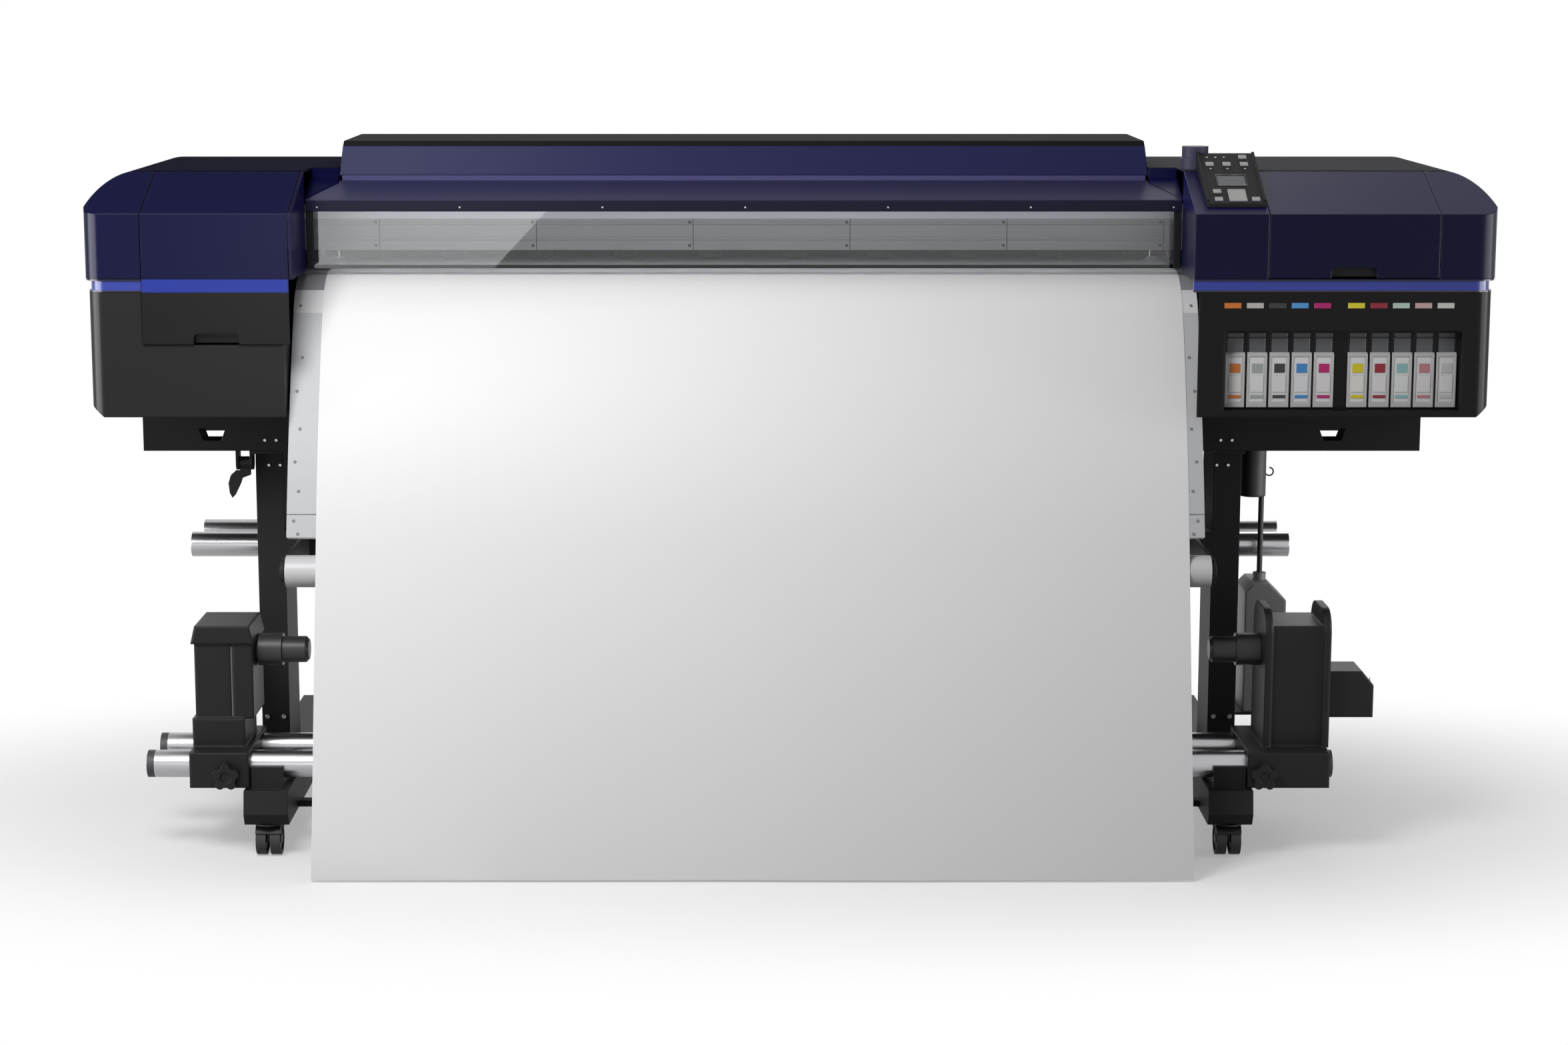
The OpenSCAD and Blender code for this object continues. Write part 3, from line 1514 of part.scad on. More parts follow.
module drive_housing() {
    depth = take_rail_gap + 10;
    y0 = take_mid - depth / 2;
    base = clamp_low + clamp_h;
    ear_t = 14;
    ear_r = 44;
    step = 8;
    crown = drive_top - 30;
    motor_z = 256;
    motor_d = 90;
    motor_x = drive_l + drive_w;
    color("#29292b") {
        difference() {
            union() {
                take_clamp(drive_clamp_l, drive_l + drive_w - drive_clamp_l - step / 2, knob_r_x);
                along_y(y0 + step, depth - 2 * step) polygon([
                    [drive_l, base - eps], [drive_l + drive_w, base - eps],
                    [drive_l + drive_w - ear_t, crown], [drive_l + ear_t, crown],
                ]);
                for (x = [drive_l, drive_l + drive_w - ear_t]) along_x(x, ear_t) {
                    span_rect([y0, base], [y0 + depth, drive_top - ear_r]);
                    span_rect([y0 + ear_r, base], [y0 + depth - ear_r, drive_top]);
                    for (y = [y0 + ear_r, y0 + depth - ear_r])
                        translate([y, drive_top - ear_r]) circle(ear_r);
                }
            }
            bar_x(hub_r + run_gap, drive_l - eps, hub_hole + eps, take_mid, take_axis_z);
        }
        along_y(take_mid - motor_d / 2, motor_d) polygon([
            [motor_x - eps, motor_z], [motor_x + motor_w, motor_z],
            [motor_x + motor_w, motor_z + 0.7 * motor_h],
            [motor_x + 0.75 * motor_w, motor_z + motor_h], [motor_x - eps, motor_z + motor_h],
        ]);
    }
}

// Holder of the supply roll on the feed rails
module feed_holder(x) {
    pad = 14;
    boss = 48;
    neck = 0.8 * boss;
    rise = 0.6 * boss;
    difference() {
        union() {
            box([x, feed_rail_front - feed_rail_r - pad, feed_rail_z - feed_rail_r - pad],
                [x + holder_t, feed_back + feed_rail_r + pad, feed_rail_z + feed_rail_r + pad]);
            along_x(x, holder_t) {
                polygon([
                    [feed_back - 60, feed_rail_z], [feed_back + feed_rail_r + pad, feed_rail_z - feed_rail_r],
                    [roll_y + neck, roll_z - rise], [roll_y - neck, roll_z + rise],
                ]);
                translate([roll_y, roll_z]) circle(boss);
            }
        }
        for (y = [feed_rail_front, feed_back])
            bar_x(feed_rail_r + part_gap / 2, x - eps, holder_t + 2 * eps, y, feed_rail_z);
        bar_x(stub_r + run_gap, x - eps, holder_t + 2 * eps, roll_y, roll_z);
    }
}

module feed_holders() {
    color("#29292b") {
        feed_holder(media_l - holder_gap - holder_t);
        feed_holder(media_r + holder_gap);
    }
}

module supply_roll() {
    end_gap = 4;
    stub = holder_gap + holder_t - end_gap;
    color("whitesmoke") bar_x(roll_r, media_l, media_w, roll_y, roll_z);
    color("dimgray") {
        for (x = [media_l - flange_t, media_r]) bar_x(flange_r, x, flange_t, roll_y, roll_z);
        bar_x(core_r, media_l - holder_gap + end_gap, media_w + 2 * (holder_gap - end_gap), roll_y, roll_z);
        bar_x(stub_r, media_l - stub, media_w + 2 * stub, roll_y, roll_z);
    }
}

module waste_bottle() {
    shoulder = 16;
    port_r = 26;
    cap_r = 13;
    cap_h = 14;
    port_x = tube_x - 0.7 * port_r;
    hook_r = 8;
    wire_r = 1.5;
    color("#8a8d90") {
        along_y(bottle_y, bottle_d) polygon([
            [bottle_x, bottle_low], [bottle_x + bottle_w, bottle_low],
            [bottle_x + bottle_w, bottle_top - 2 * shoulder],
            [bottle_x + bottle_w - 2 * shoulder, bottle_top],
            [bottle_x + shoulder, bottle_top], [bottle_x, bottle_top - shoulder],
        ]);
        translate([tube_x, tube_y, bottle_top]) cylinder(r = cap_r, h = cap_h);
    }
    color("#222224") {
        translate([tube_x, tube_y, bottle_top + cap_h])
            cylinder(r = tube_r, h = port_low - bottle_top - cap_h);
        translate([port_x, tube_y, port_low]) cylinder(r = port_r, h = chassis_top - port_low);
        translate([port_x + port_r + hook_r - wire_r, tube_y, port_low + 6 * hook_r]) rotate([90, 0, 0])
            rotate_extrude(angle = 270, start = 180) translate([hook_r, 0]) circle(wire_r);
    }
}

module vinyl_web() {
    under = media_gap;
    over = media_gap + media_t;
    lower = [drop_pt(under, web_foot_z), drop_pt(over, web_foot_z)];
    color("white") along_x(media_l, media_w) polygon(concat(
        [[pre_y + under, roll_z]], pre_line(under), heater_line(under, heater_end), lower,
        reversed(heater_line(over, heater_end)), reversed(pre_line(over)), [[pre_y + over, roll_z]]));
}

module clamp_knob_left() { clamp_knob(knob_l_x); }
module clamp_knob_right() { clamp_knob(knob_r_x); }

chassis();
stand();
guide_rails();
platen();
after_heater();
carriage_beam();
rear_cover();
top_cover();
left_end_cap();
left_lower_cover();
right_end_cap();
ink_housing();
accent_strips();
control_panel();
idler_housing();
drive_housing();
feed_holders();
waste_bottle();
vinyl_web();
front_cover();
cover_window();
left_service_door();
right_service_door();
media_lever();
pinch_arms();
pinch_rollers();
grit_roller();
guide_roller();
carriage();
idler_hub();
drive_hub();
supply_roll();
clamp_knob_left();
clamp_knob_right();
for (i = [1:4]) caster_fork(i);
for (i = [1:4]) caster_wheels(i);
for (i = [1:CARTS]) cartridge(i);
for (k = KEYS) key(k);
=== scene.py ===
"""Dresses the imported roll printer: finishes, labels, fasteners, the vinyl web, studio and camera."""

import json
import logging
import math
from abc import ABC, abstractmethod
from collections import Counter
from dataclasses import dataclass, field, replace
from enum import Enum
from functools import cached_property, partial
from typing import Callable, Iterable, Iterator, Sequence, Union

import bmesh
import bpy
from mathutils import Matrix, Vector

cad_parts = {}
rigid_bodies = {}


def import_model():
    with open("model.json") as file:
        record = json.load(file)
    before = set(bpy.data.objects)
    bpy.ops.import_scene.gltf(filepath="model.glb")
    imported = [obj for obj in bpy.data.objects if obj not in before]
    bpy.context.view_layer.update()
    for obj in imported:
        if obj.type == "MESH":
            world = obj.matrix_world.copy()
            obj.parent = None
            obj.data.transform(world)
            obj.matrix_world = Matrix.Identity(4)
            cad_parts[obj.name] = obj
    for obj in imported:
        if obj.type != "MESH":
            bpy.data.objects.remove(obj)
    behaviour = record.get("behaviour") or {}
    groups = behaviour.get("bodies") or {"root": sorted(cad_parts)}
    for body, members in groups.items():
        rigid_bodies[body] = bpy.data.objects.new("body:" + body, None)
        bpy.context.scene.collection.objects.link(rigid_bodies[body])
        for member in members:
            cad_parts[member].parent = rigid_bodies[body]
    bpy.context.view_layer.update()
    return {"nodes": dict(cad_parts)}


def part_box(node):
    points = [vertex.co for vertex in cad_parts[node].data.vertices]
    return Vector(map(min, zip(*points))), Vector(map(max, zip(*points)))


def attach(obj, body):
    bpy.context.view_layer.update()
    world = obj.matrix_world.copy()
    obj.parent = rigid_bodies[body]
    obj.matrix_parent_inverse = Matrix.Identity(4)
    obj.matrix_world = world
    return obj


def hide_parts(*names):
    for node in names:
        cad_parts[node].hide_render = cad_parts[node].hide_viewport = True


LOG = logging.getLogger("roll_printer")
MM = 0.001
FIXED = "frame"
TO_FRONT = (0, -1, 0)
TO_BACK = (0, 1, 0)
PROUD = 0.6

Point = tuple[float, float, float]
Colour = tuple[float, float, float]
Sides = tuple[float | None, float | None, float | None]
Value = Union["Sock", float, int, Sequence[float]]


class Axis(Enum):
    """The three directions of the part's own coordinates."""

    X = 0
    Y = 1
    Z = 2


def operation(name: str, turned: bool = False) -> Callable[..., "Sock"]:
    """Makes a method that adds one Math node to a wrapped output's tree.

    Args:
        name: Name of the Math operation.
        turned: Whether the operands change places.

    Returns:
        The method, which takes the other operand where there is one.
    """
    def method(first: "Sock", *rest: Value) -> "Sock":
        """Adds the Math node and wraps its result."""
        values = (*rest, first) if turned else (first, *rest)
        return first.shader.node("ShaderNodeMath", {"operation": name}, dict(enumerate(values)))
    return method


class Sock:
    """A shader output that takes part in Python arithmetic; each operator adds a Math node."""

    def __init__(self, shader: "Shader", out: bpy.types.NodeSocket) -> None:
        """Wraps one output socket of a shader's tree."""
        self.shader = shader
        self.out = out

    __add__ = __radd__ = operation("ADD")
    __sub__ = operation("SUBTRACT")
    __rsub__ = operation("SUBTRACT", turned=True)
    __mul__ = __rmul__ = operation("MULTIPLY")
    __mod__ = operation("FLOORED_MODULO")
    __gt__ = operation("GREATER_THAN")
    __lt__ = operation("LESS_THAN")
    root = operation("SQRT")
    wave = operation("SINE")


def feed(tree: bpy.types.NodeTree, socket: bpy.types.NodeSocket, value: object) -> None:
    """Links or sets one input socket.

    Args:
        tree: The node tree.
        socket: The input.
        value: An output to link, wrapped or not, or a plain value.
    """
    value = value.out if isinstance(value, Sock) else value
    if isinstance(value, bpy.types.NodeSocket):
        tree.links.new(value, socket)
    else:
        socket.default_value = value


def add_node(tree: bpy.types.NodeTree, kind: str, settings: dict | None = None,
             inputs: dict | None = None) -> bpy.types.Node:
    """Adds any node to a tree.

    Args:
        tree: The node tree.
        kind: The node's type.
        settings: Properties, set before the sockets.
        inputs: Values or links by the socket's name or index.

    Returns:
        The node.
    """
    made = tree.nodes.new(kind)
    for key, value in (settings or {}).items():
        setattr(made, key, value)
    for key, value in (inputs or {}).items():
        feed(tree, made.inputs[key], value)
    return made


class Shader:
    """One material's node tree with short calls for the nodes that the finishes use."""

    def __init__(self, name: str) -> None:
        """Starts an empty material with a Principled shader.

        Args:
            name: Name of the material.
        """
        self.material = bpy.data.materials.new(name)
        self.material.use_nodes = True
        self.tree = self.material.node_tree
        self.tree.nodes.clear()
        self.output = self.tree.nodes.new("ShaderNodeOutputMaterial")
        self.bsdf = self.tree.nodes.new("ShaderNodeBsdfPrincipled")
        self.tree.links.new(self.bsdf.outputs[0], self.output.inputs["Surface"])

    def node(self, kind: str, settings: dict | None = None, inputs: dict | None = None, out: int = 0) -> Sock:
        """Adds any node and wraps one of its outputs."""
        return Sock(self, add_node(self.tree, kind, settings, inputs).outputs[out])

    def surface(self, values: dict[str, Value]) -> None:
        """Sets inputs of the Principled shader by name."""
        for key, value in values.items():
            feed(self.tree, self.bsdf.inputs[key], value)

    @cached_property
    def coords(self) -> Sock:
        """Object coordinates, which are the part's own metres."""
        return self.node("ShaderNodeTexCoord", out=3)

    @cached_property
    def places(self) -> dict[Axis, Sock]:
        """The object coordinates one by one, in metres."""
        split = add_node(self.tree, "ShaderNodeSeparateXYZ", None, {0: self.coords})
        return {axis: Sock(self, split.outputs[axis.value]) for axis in Axis}

    def stretched(self, scale: Sequence[float]) -> Sock:
        """Object coordinates scaled apart along each axis."""
        return self.node("ShaderNodeMapping", None, {"Vector": self.coords, "Scale": scale})

    def noise(self, scale: float, detail: float = 2.0, vector: Sock | None = None) -> Sock:
        """Smooth noise from 0 to 1, with a scale in cells per metre and a detail in octaves."""
        inputs = {"Vector": vector or self.coords, "Scale": scale, "Detail": detail}
        return self.node("ShaderNodeTexNoise", None, inputs)

    def blend(self, factor: Value, first: Value, second: Value) -> Sock:
        """Mixes two colours; a factor of 0 gives the first, 1 the second."""
        pair = [c if isinstance(c, Sock) else (*c[:3], 1.0) for c in (first, second)]
        return self.node("ShaderNodeMix", {"data_type": "RGBA"}, {0: factor, 6: pair[0], 7: pair[1]}, out=2)

    def soft_edges(self, radius: float) -> Sock:
        """Normal with the edges rounded over a radius in metres."""
        return self.node("ShaderNodeBevel", {"samples": 6}, {"Radius": radius})

    def bump(self, height: Sock, strength: float, distance: float, normal: Sock | None = None) -> Sock:
        """Normal bent by a height from 0 to 1, with a distance in metres at 1."""
        inputs = {"Strength": strength, "Distance": distance, "Height": height}
        return self.node("ShaderNodeBump", None, inputs | ({"Normal": normal} if normal else {}))


@dataclass(frozen=True)
class Zone:
    """A box-shaped stretch of a node with a colour of its own; None leaves a side open."""

    colour: Colour
    rough: float
    low: Sides = (None, None, None)
    high: Sides = (None, None, None)
    metal: float = 0.0

    def mask(self, shader: Shader) -> Sock:
        """1 inside the zone.

        Args:
            shader: The material's shader.

        Returns:
            The product of the tests on its closed sides.
        """
        tests = []
        for axis, low, high in zip(Axis, self.low, self.high):
            if low is not None:
                tests.append(shader.places[axis] > low * MM)
            if high is not None:
                tests.append(shader.places[axis] < high * MM)
        return math.prod(tests[1:], start=tests[0])


def above(z: float, colour: Colour, rough: float, metal: float = 0.0) -> Zone:
    """Zone over everything higher than z."""
    return Zone(colour, rough, low=(None, None, z), metal=metal)


def below(z: float, colour: Colour, rough: float) -> Zone:
    """Zone over everything lower than z."""
    return Zone(colour, rough, high=(None, None, z))


@dataclass(frozen=True)
class Ring:
    """A stretch of a node nearer than a radius to an axis along X."""

    colour: Colour
    rough: float
    centre: tuple[float, float]
    radius: float
    metal: float = 0.0

    def mask(self, shader: Shader) -> Sock:
        """1 within the radius."""
        dy, dz = (shader.places[axis] - c * MM for axis, c in zip((Axis.Y, Axis.Z), self.centre))
        return (dy * dy + dz * dz).root() < self.radius * MM


def lay_zones(shader: Shader, zones: Sequence[Zone | Ring], colour: Sock, rough: Sock,
              base_metal: float = 0.0) -> tuple[Sock, Sock, Value]:
    """Lays zones over a finish.

    Args:
        shader: The material's shader.
        zones: The zones; a later one covers an earlier one.
        colour: Colour under them.
        rough: Roughness under them.
        base_metal: Share of metal under them.

    Returns:
        Colour, roughness and share of metal with the zones laid on.
    """
    metal: Value = base_metal
    for zone in zones:
        mask = zone.mask(shader)
        colour = shader.blend(mask, colour, zone.colour)
        rough = rough * (1 - mask) + mask * zone.rough
        if zone.metal != base_metal:
            metal = mask * (zone.metal - base_metal) + metal
    return colour, rough, metal


def dimmed(colour: Colour, factor: float) -> tuple[float, ...]:
    """A colour times a factor."""
    return tuple(factor * c for c in colour)


@dataclass(frozen=True)
class Finish(ABC):
    """A surface with a name, which paints the node tree of its own material."""

    name: str

    @abstractmethod
    def paint(self, shader: Shader) -> None:
        """Wires the finish into an empty shader."""

    def material(self) -> bpy.types.Material:
        """Builds the material.

        Returns:
            The material.
        """
        shader = Shader(self.name)
        self.paint(shader)
        return shader.material


@dataclass(frozen=True)
class Moulding(Finish):
    """Moulded or painted finish: slow colour drift, fine grain, rounded edges and a clear coat.

    The coat covers the whole surface, or what lies below a height in millimetres.
    """

    colour: Colour
    drift: Colour
    drift_scale: float = 3.1
    rough: float = 0.45
    rough_drift: float = 0.08
    rough_scale: float = 9.0
    grain: float = 1400.0
    grain_depth: float = 0.00004
    grain_strength: float = 0.25
    specular: float = 0.35
    coat: float = 0.0
    coat_below: float | None = None
    coat_rough: float = 0.22
    edge: float = 0.003
    zones: tuple[Zone | Ring, ...] = ()

    def paint(self, shader: Shader) -> None:
        """Wires the drift, the zones, the coat and the grain.

        Args:
            shader: The material's shader.
        """
        colour = shader.blend(shader.noise(self.drift_scale, 3.0), self.colour, self.drift)
        speck = shader.noise(self.grain, 2.0)
        rough = shader.noise(self.rough_scale, 3.0) * self.rough_drift + (self.rough - self.rough_drift / 2)
        colour, rough, metal = lay_zones(shader, self.zones, colour, rough)
        coat: Value = self.coat
        if self.coat_below is not None:
            coat = (shader.places[Axis.Z] < self.coat_below * MM) * self.coat
        normal = shader.bump(speck, self.grain_strength, self.grain_depth, shader.soft_edges(self.edge))
        shader.surface({
            "Base Color": colour, "Roughness": rough, "Metallic": metal, "Normal": normal,
            "Specular IOR Level": self.specular, "Coat Weight": coat, "Coat Roughness": self.coat_rough,
        })


@dataclass(frozen=True)
class Brushed(Finish):
    """Bare metal with fine lines along one axis, and optional seams across it."""

    colour: Colour
    rough: float = 0.3
    along: Axis = Axis.X
    stretch: float = 0.01
    streak: float = 900.0
    line_depth: float = 0.00003
    cloud_scale: float = 4.0
    dull: float = 0.82
    seam_pitch: float = 0.0
    seam_offset: float = 0.0
    seam_width: float = 0.0016
    seam_colour: Colour = (0.03, 0.03, 0.03)
    edge: float = 0.0015
    zones: tuple[Zone | Ring, ...] = ()
    metal: float = 1.0

    def paint(self, shader: Shader) -> None:
        """Wires the lines, the seams and the zones.

        Args:
            shader: The material's shader.
        """
        scale = tuple(self.stretch if axis is self.along else 1.0 for axis in Axis)
        lines = shader.noise(self.streak, 3.0, shader.stretched(scale))
        cloud = shader.noise(self.cloud_scale, 2.0)
        colour = shader.blend(lines * 0.5 + cloud * 0.3, self.colour, dimmed(self.colour, self.dull))
        rough = lines * 0.12 + cloud * 0.08 + (self.rough - 0.1)
        if self.seam_pitch:
            step = (shader.places[Axis.X] + self.seam_offset) % self.seam_pitch
            colour = shader.blend(step < self.seam_width, colour, self.seam_colour)
        colour, rough, metal = lay_zones(shader, self.zones, colour, rough, self.metal)
        normal = shader.bump(lines, 0.15, self.line_depth, shader.soft_edges(self.edge))
        shader.surface({"Base Color": colour, "Roughness": rough, "Metallic": metal, "Normal": normal})


@dataclass(frozen=True)
class Film(Finish):
    """Smooth printable film, a little uneven where it hangs."""

    colour: Colour = (0.86, 0.86, 0.865)
    rough: float = 0.42
    rough_drift: float = 0.06
    cloud_scale: float = 1.6
    grain: float = 2600.0
    dull: float = 0.97

    def paint(self, shader: Shader) -> None:
        """Wires the tint and the fine grain.

        Args:
            shader: The material's shader.
        """
        slow = shader.noise(self.cloud_scale, 2.0)
        fine = shader.noise(self.grain, 1.0)
        shader.surface({
            "Base Color": shader.blend(slow, self.colour, dimmed(self.colour, self.dull)),
            "Roughness": fine * self.rough_drift + (self.rough - self.rough_drift / 2),
            "Normal": shader.bump(fine, 0.08, 0.00001),
            "Specular IOR Level": 0.3,
        })


@dataclass(frozen=True)
class Window(Finish):
    """Clear sheet: see-through, with a reflection that grows at shallow angles."""

    tint: Colour = (0.86, 0.88, 0.9)
    rough: float = 0.03

    def paint(self, shader: Shader) -> None:
        """Wires the smears and sets the sheet see-through.

        Args:
            shader: The material's shader.
        """
        smear = shader.noise(5.0, 3.0)
        shader.surface({
            "Base Color": (*self.tint, 1.0), "Roughness": smear * 0.03 + self.rough,
            "Transmission Weight": 1.0, "IOR": 1.02, "Specular IOR Level": 0.5,
            "Coat Weight": 1.0, "Coat Roughness": 0.012,
        })
        shader.material.surface_render_method = "BLENDED"


@dataclass(frozen=True)
class Glow(Finish):
    """Lit screen or lamp face with fine rows."""

    colour: Colour
    glow: Colour
    strength: float
    rough: float = 0.15
    row_scale: float = 1400.0
    row_share: float = 0.15

    def paint(self, shader: Shader) -> None:
        """Wires the rows and the light.

        Args:
            shader: The material's shader.
        """
        rows = ((shader.places[Axis.Y] * self.row_scale).wave() * 0.5 + 0.5) * self.row_share
        shader.surface({
            "Base Color": shader.blend(rows, self.colour, (0.02, 0.02, 0.02)),
            "Roughness": shader.noise(60.0) * 0.1 + self.rough,
            "Emission Color": (*self.glow, 1.0), "Emission Strength": self.strength,
        })


NAVY = (0.005, 0.005, 0.04)
NAVY_DRIFT = (0.006, 0.006, 0.045)
BLACK = (0.0125, 0.0125, 0.0135)
BLACK_DRIFT = (0.0155, 0.0155, 0.0165)
BLUE = (0.03, 0.05, 0.34)
LIGHT_GREY = (0.56, 0.565, 0.58)


def box_mm(name: str) -> tuple[Vector, Vector]:
    """Lowest and highest corner of a node, in millimetres."""
    low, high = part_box(name)
    return low / MM, high / MM


def stations(first: float, last: float, pitch: float) -> Iterator[float]:
    """Places from the first up to the last, one pitch apart.

    Args:
        first: First place.
        last: Where they end.
        pitch: Distance between two places.

    Yields:
        Each place.
    """
    while first < last:
        yield first
        first += pitch


def spread(first: float, last: float, count: int) -> list[float]:
    """Evenly spaced places from the first to the last."""
    return [first + k * (last - first) / (count - 1) for k in range(count)]


def arc_point(centre: tuple[float, float], radius: float, angle: float) -> tuple[float, float]:
    """Depth and height of a point on an arc that starts level and bends down to the front."""
    a = math.radians(angle)
    return centre[0] - radius * math.sin(a), centre[1] + radius * math.cos(a)


class MeshKit:
    """Builds one mesh object from simple closed forms, in millimetres."""

    def __init__(self, name: str) -> None:
        """Starts an empty mesh under the piece's name."""
        self.name = name
        self.bm = bmesh.new()

    def _add(self, made: bmesh.types.BMesh, index: int = 0) -> None:
        """Copies a form into the piece.

        Args:
            made: The form, which is freed.
            index: Material index of its faces.
        """
        mesh = bpy.data.meshes.new("form")
        for face in made.faces:
            face.material_index = index
        made.to_mesh(mesh)
        made.free()
        self.bm.from_mesh(mesh)
        bpy.data.meshes.remove(mesh)

    def slab(self, low: Point, high: Point, bevel: float, index: int = 0, turn: Matrix | None = None) -> None:
        """Adds a box with bevelled edges.

        Args:
            low: Lowest corner.
            high: Highest corner.
            bevel: Width of the bevel.
            index: Material index.
            turn: Matrix applied after the box is made.
        """
        made = bmesh.new()
        bmesh.ops.create_cube(made, size=1.0)
        size = [b - a for a, b in zip(low, high)]
        middle = [(a + b) / 2 for a, b in zip(low, high)]
        for vert in made.verts:
            vert.co = Vector([c + v * s for c, v, s in zip(middle, vert.co, size)])
        bmesh.ops.bevel(made, geom=list(made.edges), offset=bevel, segments=2, affect="EDGES", profile=0.5)
        if turn is not None:
            made.transform(turn)
        self._add(made, index)

    def loft(self, sections: Sequence[Sequence[Point]]) -> None:
        """Adds a closed form through sections with the same number of corners.

        Args:
            sections: Corners of each section, from one end to the other.
        """
        made = bmesh.new()
        rings = [[made.verts.new(corner) for corner in section] for section in sections]
        for near, far in zip(rings, rings[1:]):
            for k in range(len(near)):
                step = (k + 1) % len(near)
                made.faces.new((near[k], near[step], far[step], far[k]))
        made.faces.new(rings[0])
        made.faces.new(rings[-1])
        bmesh.ops.recalc_face_normals(made, faces=list(made.faces))
        self._add(made)

    def piece(self, materials: Sequence[bpy.types.Material], body: str) -> None:
        """Ends the mesh and makes it a piece of the object.

        Args:
            materials: Materials by index.
            body: Body that it rides on.
        """
        bmesh.ops.scale(self.bm, vec=(MM, MM, MM), verts=list(self.bm.verts))
        mesh = bpy.data.meshes.new(self.name)
        self.bm.to_mesh(mesh)
        self.bm.free()
        for material in materials:
            mesh.materials.append(material)
        adopt(bpy.data.objects.new(self.name, mesh), body)


def adopt(obj: bpy.types.Object, body: str) -> None:
    """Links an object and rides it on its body.

    Args:
        obj: The finished object.
        body: Name of the body.
    """
    if obj.name not in bpy.context.scene.collection.objects:
        bpy.context.scene.collection.objects.link(obj)
    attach(obj, body)
    LOG.info("piece %s on %s", obj.name, body)


class Fasteners:
    """Geometry Nodes tree that sets one socket-head screw on each point, along its facing."""

    FACING = "facing"

    def __init__(self, name: str, material: bpy.types.Material, sides: int = 14) -> None:
        """Builds the tree.

        Args:
            name: Name of the node group.
            material: Finish of the screws.
            sides: Facets round each head.
        """
        self.tree = bpy.data.node_groups.new(name, "GeometryNodeTree")
        face = self.tree.interface
        face.new_socket("Points", in_out="INPUT", socket_type="NodeSocketGeometry")
        self.radius = face.new_socket("Head radius", in_out="INPUT", socket_type="NodeSocketFloat")
        self.height = face.new_socket("Head height", in_out="INPUT", socket_type="NodeSocketFloat")
        face.new_socket("Screws", in_out="OUTPUT", socket_type="NodeSocketGeometry")
        new = partial(add_node, self.tree)
        entry = new("NodeGroupInput").outputs
        radius, height = entry["Head radius"], entry["Head height"]
        cone = new("GeometryNodeMeshCone", {}, {
            "Vertices": sides, "Radius Bottom": radius, "Radius Top": self._scaled(radius, 0.8),
            "Depth": height}).outputs
        rim = new("GeometryNodeExtrudeMesh", {"mode": "FACES"}, {
            "Mesh": cone["Mesh"], "Selection": cone["Top"], "Offset Scale": 0.0}).outputs
        socket = new("GeometryNodeScaleElements", {}, {
            "Geometry": rim["Mesh"], "Selection": rim["Top"], "Scale": 0.55}).outputs
        recess = new("GeometryNodeExtrudeMesh", {"mode": "FACES"}, {
            "Mesh": socket["Geometry"], "Selection": rim["Top"],
            "Offset Scale": self._scaled(height, -0.5)}).outputs
        facing = new("GeometryNodeInputNamedAttribute", {"data_type": "FLOAT_VECTOR"},
                     {"Name": self.FACING}).outputs
        turn = new("FunctionNodeAlignRotationToVector", {"axis": "Z"},
                   {"Vector": facing["Attribute"]}).outputs
        put = new("GeometryNodeInstanceOnPoints", {}, {
            "Points": entry["Points"], "Instance": recess["Mesh"], "Rotation": turn["Rotation"]}).outputs
        real = new("GeometryNodeRealizeInstances", {}, {"Geometry": put["Instances"]}).outputs
        dress = new("GeometryNodeSetMaterial", {}, {
            "Geometry": real["Geometry"], "Material": material}).outputs
        new("NodeGroupOutput", {}, {"Screws": dress["Geometry"]})

    def _scaled(self, out: bpy.types.NodeSocket, factor: float) -> bpy.types.NodeSocket:
        """A length times a factor."""
        node = add_node(self.tree, "ShaderNodeMath", {"operation": "MULTIPLY"}, {0: out, 1: factor})
        return node.outputs[0]

    def set_on(self, name: str, spots: Iterable[tuple[Point, Point]], body: str, slot: str,
               radius: float = 4.0, height: float = 2.4,
               finish: bpy.types.Material | None = None) -> None:
        """Sets screws on points and turns the result into a plain mesh.

        Args:
            name: Name of the piece.
            spots: Place in millimetres and facing of each screw.
            body: Body that carries them.
            slot: Name of a material slot; not used.
            radius: Head radius in millimetres.
            height: Head height in millimetres.
            finish: Material in place of the tree's own.
        """
        spots = list(spots)
        mesh = bpy.data.meshes.new(name)
        mesh.from_pydata([tuple(MM * c for c in spot) for spot, _ in spots], [], [])
        facing = mesh.attributes.new(self.FACING, "FLOAT_VECTOR", "POINT")
        for k, (_, way) in enumerate(spots):
            facing.data[k].vector = way
        obj = bpy.data.objects.new(name, mesh)
        bpy.context.scene.collection.objects.link(obj)
        modifier = obj.modifiers.new("screws", "NODES")
        modifier.node_group = self.tree
        modifier[self.radius.identifier] = radius * MM
        modifier[self.height.identifier] = height * MM
        graph = bpy.context.evaluated_depsgraph_get()
        real = bpy.data.meshes.new_from_object(obj.evaluated_get(graph))
        obj.modifiers.clear()
        obj.data = real
        obj.data.name = name
        if finish is not None:
            real.materials.clear()
            real.materials.append(finish)
        adopt(obj, body)


